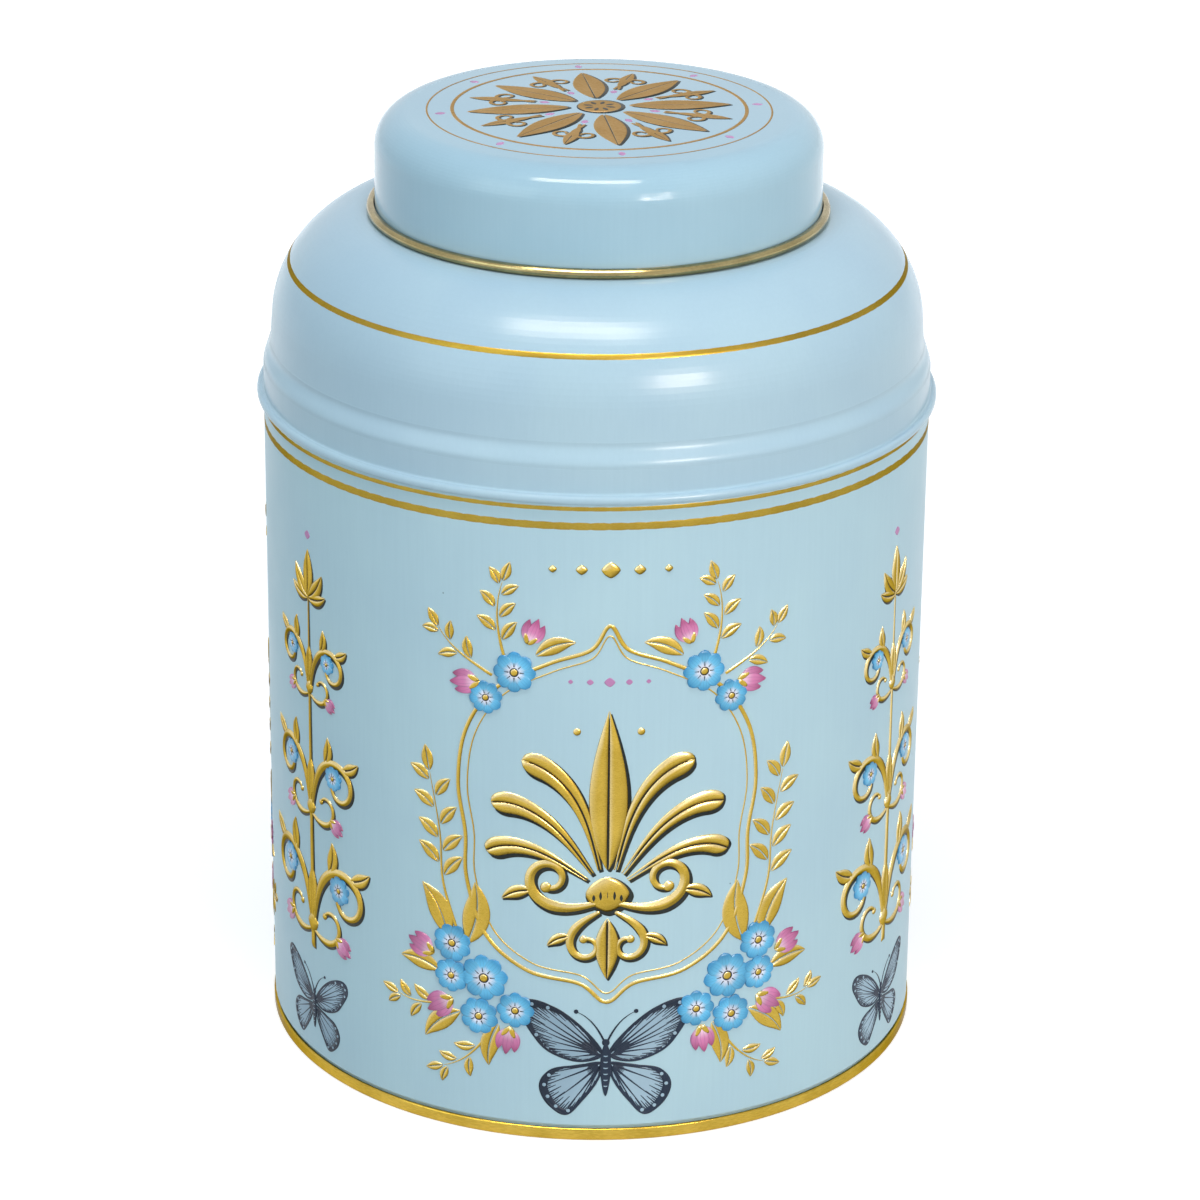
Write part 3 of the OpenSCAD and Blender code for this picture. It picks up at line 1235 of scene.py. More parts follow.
@dataclass
class Board:
    """The sheets of every paint for one panel. Its bases are in millimetres."""

    seed: int
    leaf_base: float = 0.06
    sheets: Dict[Paint, ReliefSheet] = field(default_factory=dict)

    INK_BASE = 0.07
    SHADE_BASE = 0.045
    SHADE_FALL = np.array([0.8, -1.0])
    SHADE_SPREAD = 0.55
    BLOOM_BASE = 0.26
    BLOOM_MARKS = 0.13
    PETAL_POINTS = 14
    LEAF_POINTS = 26
    LEAF_BELLY = 0.55
    MIDRIB = 0.16
    SPRIG_RISE = 0.16
    SPRIG_STEM = 0.34

    def sheet(self, paint: Paint) -> ReliefSheet:
        """Finds the sheet of a paint, made when it is first asked for.

        Args:
            paint: The paint.

        Returns:
            The sheet. Its seed follows from the order in which the paints are asked for.
        """
        if paint not in self.sheets:
            self.sheets[paint] = ReliefSheet(self.seed + len(self.sheets))
        return self.sheets[paint]

    def print_line(self, line: np.ndarray, half_width: float) -> None:
        """Adds a thin line of engraving ink, half_width in millimetres at its root."""
        self.sheet(Paint.INK).ribbon(line, half_width, 0.0, self.INK_BASE, Relief.FLAT, Taper.STEM)

    def shadow(self, line: np.ndarray, half_width: float, depth: float, taper: Taper) -> None:
        """Adds the dark outline that falls below and to the right of a gold shape.

        Args:
            line: The shape's middle line.
            half_width: The shape's half width, in millimetres.
            depth: How far the outline shows, in millimetres.
            taper: The shape's taper.
        """
        self.sheet(Paint.SHADE).ribbon(line + depth * self.SHADE_FALL,
                                       half_width + depth * self.SHADE_SPREAD, 0.0,
                                       self.SHADE_BASE, Relief.FLAT, taper)

    def leaf(self, root: Point, angle: float, length: float, half_width: float,
             bow: float = 0.0, paint: Paint = Paint.FOIL, outline: float = 0.0,
             rise: float = 0.2) -> None:
        """Adds an embossed leaf with a bare midrib.

        Args:
            root: Its lower end.
            angle: Its direction in degrees.
            length: Its length in millimetres.
            half_width: Its half width in millimetres.
            bow: How far its midrib bows to the left, as a share of its length.
            paint: Its paint.
            outline: Depth of a dark outline, 0 for none.
            rise: Height of the embossing in millimetres.
        """
        tip = polar(root, angle, length)
        belly = polar(root, angle, length * self.LEAF_BELLY)
        line = bezier([root, polar(belly, angle + 90, bow * length * 2), tip], self.LEAF_POINTS)
        if outline:
            self.shadow(line, half_width, outline, Taper.LEAF)
        self.sheet(paint).blade(line, half_width, rise, self.leaf_base,
                                gap=min(self.MIDRIB, half_width * 0.1))

    def tendril(self, line: np.ndarray, half_width: float, rise: float, outline: float = 0.0,
                taper: Taper = Taper.STEM, paint: Paint = Paint.FOIL,
                relief: Relief = Relief.ROUND) -> None:
        """Adds an embossed line.

        Args:
            line: Its middle line.
            half_width: Its greatest half width, in millimetres.
            rise: Height of the embossing, in millimetres.
            outline: Depth of a dark outline, 0 for none.
            taper: Its width along the line.
            paint: Its paint.
            relief: Its section.
        """
        if outline:
            self.shadow(line, half_width, outline, taper)
        self.sheet(paint).ribbon(line, half_width, rise, self.leaf_base, relief, taper)

    def volute(self, line: np.ndarray, half_width: float, outline: float, rise: float) -> None:
        """Adds a gold scroll that thins towards a round eye at its inner end.

        Args:
            line: Its middle line, from its root to its inner end.
            half_width: Its greatest half width, in millimetres.
            outline: Depth of its dark outline, in millimetres.
            rise: Height of the embossing, in millimetres.
        """
        self.tendril(line, half_width, rise, outline, Taper.VOLUTE, relief=Relief.RIDGE)
        self.sheet(Paint.FOIL).disc(tuple(line[-1]), half_width * 0.85, rise, self.leaf_base)

    def daisy(self, centre: Point, radius: float, turn: float = 0.0, petals: int = 8) -> None:
        """Adds a blue daisy with a gold eye.

        Args:
            centre: Its middle.
            radius: Its radius in millimetres.
            turn: Turn in degrees.
            petals: Number of petals.
        """
        blue, ink = self.sheet(Paint.BLUE), self.sheet(Paint.INK)
        over = self.BLOOM_BASE + self.BLOOM_MARKS
        for k in range(petals):
            root, low, middle, tip = (polar(centre, turn + 360 * k / petals, radius * share)
                                      for share in (0.12, 0.2, 0.52, 1.0))
            blue.ribbon(bezier([root, tip], self.PETAL_POINTS), radius * 0.34, 0.12,
                        self.BLOOM_BASE + 0.04 * (k % 2), Relief.CUP, Taper.PETAL)
            ink.ribbon(bezier([low, middle], 6), radius * 0.028, 0.02, over, taper=Taper.STEM)
        ink.disc(centre, radius * 0.21, 0.02, over)
        self.sheet(Paint.FOIL).disc(centre, radius * 0.16, 0.1, over + 0.02)

    def tulip(self, root: Point, angle: float, length: float) -> None:
        """Adds a pink tulip bud with a gold sepal.

        Args:
            root: The bottom of its cup.
            angle: Its direction in degrees.
            length: Its length in millimetres.
        """
        pink = self.sheet(Paint.PINK)
        for lean, size, over in ((26, 0.9, 0.0), (-26, 0.9, 0.03), (0, 1.0, 0.07)):
            middle = polar(root, angle + lean * 1.5, length * 0.5)
            tip = polar(root, angle + lean * 0.7, length * size)
            line = bezier([root, middle, tip], self.PETAL_POINTS)
            pink.ribbon(line, length * 0.21, 0.14, self.BLOOM_BASE - 0.05 + over, Relief.CUP,
                        Taper.LEAF)
        foil = self.sheet(Paint.FOIL)
        for lean in (-38, 38):
            line = bezier([polar(root, angle, -0.6), polar(root, angle + lean, length * 0.42)], 8)
            foil.ribbon(line, length * 0.09, 0.1, self.BLOOM_BASE + 0.1, taper=Taper.LEAF)

    def sprig(self, line: np.ndarray, leaves: int, length: float, half_width: float,
              start: float, spread: float = 48.0) -> None:
        """Adds a stem with leaves on alternate sides and one at its tip.

        Args:
            line: The stem.
            leaves: Number of side leaves.
            length: Length of a leaf in millimetres.
            half_width: Half width of a leaf in millimetres.
            start: Share of the stem that is bare.
            spread: Angle between a leaf and the stem, in degrees.
        """
        self.tendril(line, self.SPRIG_STEM, 0.1)
        for k in range(leaves):
            share = start + (0.94 - start) * k / max(leaves - 1, 1)
            here = min(int(share * (len(line) - 1)), len(line) - 2)
            side = 1 if k % 2 else -1
            heading = direction(line[here + 1] - line[here]) + side * spread
            root = polar(tuple(line[here]), heading, 0.8)
            self.leaf(root, heading, length * (1 - 0.3 * share), half_width * (1 - 0.2 * share),
                      bow=-0.08 * side, rise=self.SPRIG_RISE)
        self.leaf(tuple(line[-1]), direction(line[-1] - line[-2]), length * 0.8,
                  half_width * 0.85, rise=self.SPRIG_RISE)

    def build(self, name: str, wrap: Wrap, dressing: Dressing, body: str, slot: str) -> None:
        """Makes one object of each paint and lets it ride on a body.

        Args:
            name: Start of the objects' names.
            wrap: The surface that they lie on.
            dressing: Where the materials come from.
            body: The CAD body that they ride on.
            slot: Not used.
        """
        for paint, sheet in self.sheets.items():
            made = sheet.build(f"{name}_{paint.name.lower()}", wrap, dressing.paint(paint))
            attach(made, body)
            LOG.info("%s: %d shapes", made.name, len(sheet.patches))


@dataclass
class Butterfly:
    """A butterfly in the manner of a steel engraving. A scale of 1 spans 38 mm."""

    board: Board
    centre: Point
    scale: float

    FORE = ((0.9, 2.2), (5.0, 8.2), (11.0, 13.0), (17.2, 14.6), (19.0, 12.0), (16.4, 6.8),
            (12.6, 2.6), (6.0, 0.4))
    HIND = ((0.9, -0.2), (6.2, -0.9), (12.0, -2.2), (14.4, -6.0), (12.6, -10.6), (8.8, -13.0),
            (5.4, -9.6), (2.0, -4.6))
    TRUNK = ((0, -8.5), (0, -4.0), (0, 0), (0, 3.2), (0, 5.0))
    HATCHING = (0.3, 0.16, 0.23, 0.12)

    def at(self, points: Sequence[Point], side: int = 1) -> np.ndarray:
        """Scales points, mirrors them to a side and moves them to the centre."""
        return np.asarray(points, float) * (self.scale * side, self.scale) + self.centre

    def draw(self) -> None:
        """Adds the wings and then the body that lies over them."""
        wash = self.board.sheet(Paint.WASH)
        for side in SIDES:
            for wing, hub, veins in ((self.HIND, (6.8, -5.2), 9), (self.FORE, (10.0, 7.2), 11)):
                outline = self.at(through(wing, 9, closed=True), side)
                root, middle = self.at([wing[0], hub], side)
                wash.radial(tuple(middle), outline[::-side], 0.0, 0.05, dome=0)
                self.engrave_wing(outline, root, middle, veins)
        self.draw_body()

    def draw_body(self) -> None:
        """Adds the ringed body, the head and the feelers."""
        ink, wash = self.board.sheet(Paint.INK), self.board.sheet(Paint.WASH)
        ink.ribbon(self.at(through(self.TRUNK, 6)), 1.25 * self.scale, 0.12, 0.1,
                   taper=Taper.LEAF)
        ink.disc(tuple(self.at(self.TRUNK[-1])), 0.85 * self.scale, 0.1, 0.1)
        for k in range(6):
            height = -5.6 + k * 1.5
            reach = 0.75 - 0.05 * abs(k - 3)
            ring = bezier([(-reach, height), (0, height - 0.5), (reach, height)], 7)
            wash.ribbon(self.at(ring), 0.14 * self.scale, 0.03, 0.21, taper=Taper.LEAF)
        for side in SIDES:
            feeler = self.at(scroll((0.3, 5.2), 66, 10.0, (-1.0, -8.0), 20), side)
            self.board.print_line(feeler, 0.22 * self.scale)
            ink.disc(tuple(feeler[-1]), 0.5 * self.scale, 0.05, 0.06)

    def engrave_wing(self, outline: np.ndarray, root: np.ndarray, middle: np.ndarray,
                     veins: int) -> None:
        """Adds the border, veins, hatching and spots of one wing.

        Args:
            outline: The wing's outline.
            root: Where it joins the body.
            middle: The wing's middle.
            veins: Number of veins.
        """
        ink, wash = self.board.sheet(Paint.INK), self.board.sheet(Paint.WASH)
        count = len(outline)
        ink.ribbon(outline, 0.28 * self.scale, 0.0, 0.075, Relief.FLAT, loop=True)
        outer = outline[int(count * 0.2):int(count * 0.74)]
        ink.ribbon(middle + (outer - middle) * 0.93, self.scale, 0.0, 0.072, Relief.FLAT,
                   Taper.LEAF)
        for k in range(veins):
            end = outline[int(count * (0.1 + 0.8 * k / (veins - 1)))]
            bend = (root + end) / 2 + np.array([0.0, 0.7 * self.scale * math.sin(k)])
            self.board.print_line(bezier([root, bend, end], 14), 0.24 * self.scale)
        for k in range(3, count - 3):
            inner = outline[k] + (root - outline[k]) * self.HATCHING[k % 4] * 1.3
            self.board.print_line(np.linspace(outline[k], inner, 5), 0.2 * self.scale)
            stop = root + (outline[k] - root) * (0.34 if k % 2 else 0.22)
            self.board.print_line(np.linspace(root, stop, 4), 0.13 * self.scale)
        for k in range(5):
            spot = middle + (outline[int(count * (0.3 + 0.085 * k))] - middle) * 0.9
            wash.disc(tuple(spot), 0.42 * self.scale, 0.0, 0.1)


# ---------------------------------------------------------------------- the caddy


@dataclass
class Tinware:
    """The four pieces of sheet metal. Sizes are in metres, more are read from the nodes."""

    nodes: Dict[str, bpy.types.Object]
    dressing: Dressing
    sheet: float = 0.28 * MM
    body_radius: float = 75 * MM
    bead: float = 3.0 * MM
    rolled_rim: float = 2.25 * MM
    curl: float = 2.1 * MM
    neck_inset: float = 0.15 * MM
    rim_inset: float = 0.05 * MM
    neck_floor: float = 0.5 * MM
    swage_low: float = 7.7 * MM
    swage_high: float = 13.0 * MM
    swage_drop: float = 1.7 * MM
    wall_blue: Colour = srgb(178, 208, 218)
    wall_tint: Colour = srgb(182, 212, 220)
    shoulder_blue: Colour = srgb(169, 197, 210)
    shoulder_tint: Colour = srgb(173, 201, 212)
    cap_blue: Colour = srgb(157, 191, 205)
    cap_tint: Colour = srgb(162, 195, 208)

    def dress(self) -> None:
        """Gives each CAD node its lacquer."""
        cap_low, cap_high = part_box("cap")
        shoulder_low, shoulder_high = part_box("shoulder")
        foot = shoulder_low.z
        cap_wall = cap_high.x - (self.curl - self.sheet)
        neck = BareRing(outer=cap_wall - self.neck_inset, bottom=cap_low.z + self.neck_floor,
                        top=shoulder_high.z + self.bead, printed_below=foot + self.bead)
        rim = BareRing(inner=cap_wall + self.rim_inset, outer=cap_high.x + self.bead,
                       top=cap_low.z + self.rolled_rim)
        swage = Swage(foot + self.swage_low, foot + self.swage_high, self.swage_drop)
        finishes = {
            "body_wall": Lacquer("wall_lacquer", self.wall_blue, self.wall_tint, BareRing()),
            "shoulder": Lacquer("shoulder_lacquer", self.shoulder_blue, self.shoulder_tint,
                                neck, roughness=0.23, specular=0.2, swage=swage),
            "cap": Lacquer("cap_lacquer", self.cap_blue, self.cap_tint, rim, roughness=0.1,
                           specular=0.24),
            "base_plate": Gold("base_gold", roughness=0.2, grain=700.0,
                               grain_height=0.0025 * MM),
        }
        for name, finish in finishes.items():
            for slot in self.nodes[name].material_slots:
                slot.material = self.dressing.finish(finish)
            LOG.info("%s: %s", name, finish.name)


@dataclass
class Band:
    """A printed gold line round a piece. Its sizes are in millimetres."""

    name: str
    low: float
    high: float
    tilt: float
    lean: float
    steps: int = 256
    columns: int = 7
    rise: float = 0.035
    sink: float = 0.05
    margin: float = 0.2
    probes: int = 60

    def build(self, probe: Probe, dressing: Dressing, body: str) -> None:
        """Makes the ring on the surface that the probe finds.

        Args:
            probe: The piece's surface.
            dressing: Where the material comes from.
            body: The CAD body that it rides on.
        """
        drop = abs(self.tilt) + abs(self.lean) + self.margin
        heights = np.linspace(self.low - drop, self.high + drop, self.probes)
        radii = np.array([probe.radius(z * MM) for z in heights])
        slopes = np.gradient(radii, heights * MM)
        angle = np.linspace(0, FULL_TURN, self.steps, endpoint=False)[:, None]
        share = np.linspace(-0.001, 1.001, self.columns)
        z = self.low + (self.high - self.low) * share + self.tilt * np.sin(angle)
        z = z + self.lean * np.cos(angle)
        lift = np.full(self.columns, self.rise)
        lift[[0, -1]] = -self.sink
        slope = np.interp(z, heights, slopes)
        out = lift * MM / np.sqrt(1 + slope ** 2)
        points = round_axis(np.interp(z, heights, radii) + out, angle, z * MM - out * slope)
        numbers = np.arange(z.size).reshape(z.shape)
        made = skin(self.name, points.reshape(-1, 3), grid_faces(numbers, loop_rows=True),
                    dressing.paint(Paint.BAND))
        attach(made, body)
        LOG.info("%s: from %.1f to %.1f mm", self.name, self.low, self.high)


@dataclass
class Drawing:
    """Flat ornament round its own middle, in millimetres."""

    board: Board

    def draw(self) -> Board:
        """Draws every shape and returns the board."""
        raise NotImplementedError


@dataclass
class FrontPanel(Drawing):
    """Framed honeysuckle in gold with daisies, tulips and an engraved butterfly."""

    row_height: float = 136.8
    row_pitch: float = 6.2
    small_row_height: float = 111.0
    small_row_pitch: float = 4.2
    heart: Point = (0.0, 62.0)
    relief: float = 0.42
    outline: float = 0.6

    ROW = ((2.05, 1.85), (1.3, 1.15), (0.92, 0.85))
    HALF_FRAME = ((0, 124), (4.0, 118.5), (13, 115), (24.5, 108.5), (31.5, 98), (33.5, 85),
                  (31.8, 73), (31.5, 62), (27, 49), (17.5, 41.5), (6, 39), (0, 34.5))
    FRAME_MIDDLE = np.array([0.0, 78.5])
    INNER_FRAME = (0.935, 0.95)
    PALMS = ((33.0, 3.2), (29.5, 3.0), (25.0, 2.7))
    PALM_STEP = 21
    PALM_TURN = 140
    SPEAR = (66.4, 104.5)
    BUTTERFLY = (0, 19.5)
    ROW_BASE = 0.03
    SMALL_ROW_SIZE = 0.57

    def draw(self) -> Board:
        """Draws the panel round its own middle line.

        Returns:
            The board with every shape.
        """
        self.draw_rows()
        self.draw_frame()
        self.draw_honeysuckle()
        for side in SIDES:
            self.draw_volutes(side)
            self.draw_bouquet(side)
            self.draw_crown(side)
        Butterfly(self.board, self.BUTTERFLY, 1.0).draw()
        return self.board

    def draw_rows(self) -> None:
        """Adds the gold lozenges over the frame and the small pink ones inside it."""
        for k in range(-2, 3):
            wide, high = self.ROW[abs(k)]
            self.board.sheet(Paint.FOIL).gem((k * self.row_pitch, self.row_height),
                                             (wide, high), 0.4, self.ROW_BASE)
            self.board.sheet(Paint.ROSE).gem((k * self.small_row_pitch, self.small_row_height),
                                             (wide * self.SMALL_ROW_SIZE,
                                              high * self.SMALL_ROW_SIZE), 0.0, 0.05)

    def draw_frame(self) -> None:
        """Adds the double gold line of the lantern-shaped frame."""
        foil = self.board.sheet(Paint.FOIL)
        left = [(-x, y) for x, y in self.HALF_FRAME[-2:0:-1]]
        outer = through([*self.HALF_FRAME, *left], 9, closed=True)
        inner = self.FRAME_MIDDLE + (outer - self.FRAME_MIDDLE) * self.INNER_FRAME
        for line, half_width, rise in ((outer, 0.46, 0.2), (inner, 0.17, 0.08)):
            foil.ribbon(line, half_width, rise, self.ROW_BASE, loop=True)

    def draw_honeysuckle(self) -> None:
        """Adds the curled leaves, the spear between them and the pendant below."""
        foil = self.board.sheet(Paint.FOIL)
        for k in (3, 2, 1):
            length, width = self.PALMS[k - 1]
            for side in SIDES:
                angle = 90 - side * self.PALM_STEP * k
                bend = (side * 0.5, side * (-self.PALM_TURN / length - 0.5))
                line = scroll(polar(self.heart, angle, 4.8), angle + side * 7, length, bend, 64)
                self.board.shadow(line, width, self.outline, Taper.PALM)
                foil.blade(line, width, self.relief, self.board.leaf_base, Taper.PALM)
                foil.disc(polar(self.heart, angle + side * 10.5, length + 5.0), 0.85, 0.25, 0.03)
        spear = np.linspace((0.0, self.SPEAR[0]), (0.0, self.SPEAR[1]), 40)
        self.board.shadow(spear, 4.2, self.outline, Taper.LEAF)
        foil.blade(spear, 4.2, self.relief + 0.04, self.board.leaf_base, gap=0.22)
        self.board.leaf((0.0, 55.0), 270, 15.0, 2.6, outline=self.outline * 0.8,
                        rise=self.relief)
        shade = self.board.sheet(Paint.SHADE)
        shade.gem((0.5, 60.2), (5.3, 4.7), 0.0, 0.05, power=1.6)
        foil.gem((0.0, 60.8), (4.8, 4.2), self.relief, 0.08, power=1.6)
        for k in range(-2, 3):
            shade.gem((k * 1.5, 60.8 - 0.2 * k * k), (0.34, 1.3 - 0.25 * abs(k)), 0.04, 0.46)

    def draw_volutes(self, side: int) -> None:
        """Adds the scrolls that carry the leaves.

        Args:
            side: -1 for the left half, 1 for the right half.
        """
        wide = scroll((2.2 * side, 58.6), 90 - side * 104, 35, (-side * 0.4, side * 23.0), 90)
        self.board.volute(wide, 1.5, self.outline, self.relief)
        low = scroll((1.6 * side, 56.6), 90 - side * 122, 24, (side * 1.5, -side * 31.0), 60)
        self.board.volute(low, 1.1, self.outline * 0.8, self.relief * 0.8)
        for root, lean, length, width in ((wide[40], 112, 7.5, 1.5), (low[22], 118, 6.0, 1.2)):
            self.board.leaf(tuple(root), 90 - side * lean, length, width, bow=side * 0.1,
                            outline=self.outline * 0.6, rise=0.3)

    def draw_bouquet(self, side: int) -> None:
        """Adds the large bunch of flowers and leaves beside the foot of the frame.

        Args:
            side: -1 for the left half, 1 for the right half.
        """
        for x, y, angle, length, width in (
                (31.5, 46.0, 97, 15.5, 3.2), (36.0, 46.5, 62, 14.0, 2.8),
                (38.0, 38.0, 8, 10.5, 2.2), (33.0, 29.0, -42, 12.0, 2.4),
                (24.0, 27.5, -78, 11.0, 2.2)):
            self.board.leaf((x * side, y), self.turned(angle, side), length, width,
                            bow=0.09 * side)
        rising = [(x * side, y) for x, y in ((33.5, 48.0), (37.2, 60.0), (38.0, 72.0),
                                             (40.5, 86.0))]
        self.board.sprig(through(rising, 12), 8, 7.8, 1.7, start=0.38)
        for x, y, angle, length, bend in ((36.5, 31.0, -24, 13, (2.0, 4.5)),
                                          (26.5, 24.5, -58, 15, (1.0, 4.4))):
            stem = self.stem(side, (x, y), angle, length, bend, 20)
            self.board.sprig(stem, 4, 5.8, 1.25, start=0.3)
        for x, y, size, turn in ((35.2, 37.6, 4.2, 5), (20.2, 31.4, 4.4, 0),
                                 (28.6, 28.8, 4.6, 30), (35.0, 45.6, 4.7, 20),
                                 (27.4, 38.4, 5.6, 8)):
            self.board.daisy((x * side, y), size, turn)
        for x, y, angle, size in ((35.4, 31.6, -34, 7.2), (21.5, 26.6, -82, 6.6),
                                  (40.0, 42.2, 22, 6.8)):
            self.board.tulip((x * side, y), self.turned(angle, side), size)

    def draw_crown(self, side: int) -> None:
        """Adds the small bunch on the shoulder of the frame.

        Args:
            side: -1 for the left half, 1 for the right half.
        """
        upright = self.stem(side, (22.5, 114.5), 72, 19, (1.0, 3.0), 26)
        self.board.sprig(upright, 6, 6.0, 1.35, start=0.25)
        leaning = self.stem(side, (25.5, 111.0), 30, 16, (-1.0, 4.6), 22)
        self.board.sprig(leaning, 4, 5.8, 1.3, start=0.35)
        self.board.leaf((16.0 * side, 116.5), self.turned(158, side), 9.5, 1.9,
                        bow=-0.1 * side)
        for x, y, angle, size in ((29.0, 109.2, -8, 6.6), (17.5, 119.6, 112, 6.0)):
            self.board.tulip((x * side, y), self.turned(angle, side), size)
        for x, y, size, turn in ((27.0, 105.8, 3.9, 12), (20.6, 112.4, 4.8, 0)):
            self.board.daisy((x * side, y), size, turn)

    def stem(self, side: int, root: Point, angle: float, length: float, bend: Point,
             count: int) -> np.ndarray:
        """Scroll that is given as for the right half and mirrored to a side."""
        return scroll((root[0] * side, root[1]), self.turned(angle, side), length,
                      (side * bend[0], side * bend[1]), count)

    @staticmethod
    def turned(angle: float, side: int) -> float:
        """Direction mirrored to a side."""
        return angle if side > 0 else 180 - angle


@dataclass
class SideColumn(Drawing):
    """Tall candelabrum of paired scrolls between two panels."""

    bottom: float = 36.0
    pitch: float = 29.0
    tiers: int = 3
    shrink: float = 0.16
    outline: float = 0.5

    BUTTERFLY = (0, 15.5)

    def draw(self) -> Board:
        """Draws the column round its own middle line.

        Returns:
            The board with every shape.
        """
        top = self.bottom + self.tiers * self.pitch - 4
        stem = through([(0, self.bottom - 6), (0, top)], 40)
        self.board.tendril(stem, 0.75, 0.25, self.outline * 0.7)
        for k in range(self.tiers):
            self.draw_tier(self.bottom + k * self.pitch, 1 - self.shrink * k)
        self.draw_finial(top - 3)
        Butterfly(self.board, self.BUTTERFLY, 0.7).draw()
        return self.board

    def draw_tier(self, height: float, size: float) -> None:
        """Adds one pair of scrolls with its flowers.

        Args:
            height: Height of the tier's root, in millimetres.
            size: Scale of the tier.
        """
        for side in SIDES:
            arch = scroll((0.4 * side, height), 90 - 12 * side, 47 * size,
                          (side * 0.8 / size, -side * 17.5 / size), 84)
            self.board.volute(arch, 1.35 * size, self.outline, 0.34)
            under = scroll((0.4 * side, height - 1), 90 - 118 * side, 21 * size,
                           (side * 3.0 / size, side * 23.0 / size), 52)
            self.board.volute(under, 0.95 * size, self.outline * 0.7, 0.26)
            for root, lean, length, width, bow in ((arch[30], 8, 8.5, 1.9, -0.1),
                                                   (arch[44], 62, 7.5, 1.7, -0.08)):
                self.board.leaf(tuple(root), 90 - lean * side, length * size, width * size,
                                bow=bow * side, outline=self.outline * 0.6)
            self.board.tulip(tuple(under[26]), 90 - 122 * side, 5.6 * size)
            self.board.daisy(tuple(arch[-1]), 3.6 * size, 12 * side)
        self.board.leaf((0.0, height + 2.0), 90, 13.0 * size, 2.2 * size,
                        outline=self.outline * 0.7, rise=0.3)
        self.board.sheet(Paint.FOIL).gem((0, height + 0.5), (2.2 * size, 2.6 * size), 0.4, 0.1)

    def draw_finial(self, height: float) -> None:
        """Adds the spray of leaves at the column's top.

        Args:
            height: Height of its root, in millimetres.
        """
        for lean, length, width in ((74, 7.5, 1.4), (40, 9.0, 1.7), (0, 11.5, 2.0)):
            for side in SIDES if lean else (0,):
                self.board.leaf((0, height), 90 - lean * side, length, width, bow=-0.08 * side,
                                outline=self.outline * 0.7, rise=0.26)
        self.board.sheet(Paint.ROSE).gem((0, height + 14.8), (1.1, 1.0), 0.0, 0.05)


@dataclass
class CapRosette(Drawing):
    """Printed rosette of tan gold leaves on the cap's top."""

    arms: int = 8
    reach: float = 30.5
    outline: float = 0.55
    relief: float = 0.03

    CENTRE = (0, 0)

    def draw(self) -> Board:
        """Draws the rosette round the cap's middle.

        Returns:
            The board with every shape.
        """
        tan, rose, shade = (self.board.sheet(p) for p in (Paint.TAN, Paint.ROSE, Paint.SHADE))
        arms = [360 / self.arms * k for k in range(self.arms)]
        gaps = [360 / self.arms * (k + 0.5) for k in range(self.arms)]
        for arm, gap in zip(arms, gaps):
            self.board.leaf(polar(self.CENTRE, arm, 6.2), arm, self.reach - 7.0, 3.5,
                            paint=Paint.TAN, outline=self.outline, rise=self.relief)
            self.draw_lyre(gap)
            for angle, distance in ((arm, self.reach + 4.8), (gap, 12.6)):
                rose.gem(polar(self.CENTRE, angle, distance), (1.2, 0.8), 0.0, 0.04, turn=angle)
        ring = np.linspace(0, FULL_TURN, 160, endpoint=False)
        circle = np.stack([np.cos(ring), np.sin(ring)], -1)
        for radius, width in ((self.reach + 2.0, 0.42), (self.reach + 7.6, 0.2)):
            tan.ribbon(circle * radius, width, self.relief * 0.5, 0.04, loop=True)
        shade.disc((0.3, -0.4), 5.4, 0.0, 0.045)
        tan.disc(self.CENTRE, 4.8, self.relief, 0.05)
        for gap in gaps:
            shade.gem(polar(self.CENTRE, gap, 2.6), (1.1, 0.5), 0.0, 0.09, turn=gap)
        return self.board

    def draw_lyre(self, angle: float) -> None:
        """Adds a small leaf between two scrolls.

        Args:
            angle: Its direction in degrees.
        """
        for side in SIDES:
            root = polar(polar(self.CENTRE, angle, 14.5), angle + 90 * side, 0.5)
            line = scroll(root, angle + 2 * side, 19.0, (-side * 10.0, side * 50.0), 70)
            self.board.tendril(line, 0.66, self.relief, self.outline * 0.6, Taper.VOLUTE,
                               Paint.TAN)
        self.board.leaf(polar(self.CENTRE, angle, 19.0), angle, self.reach - 19.5, 1.5,
                        paint=Paint.TAN, outline=self.outline * 0.7, rise=self.relief)


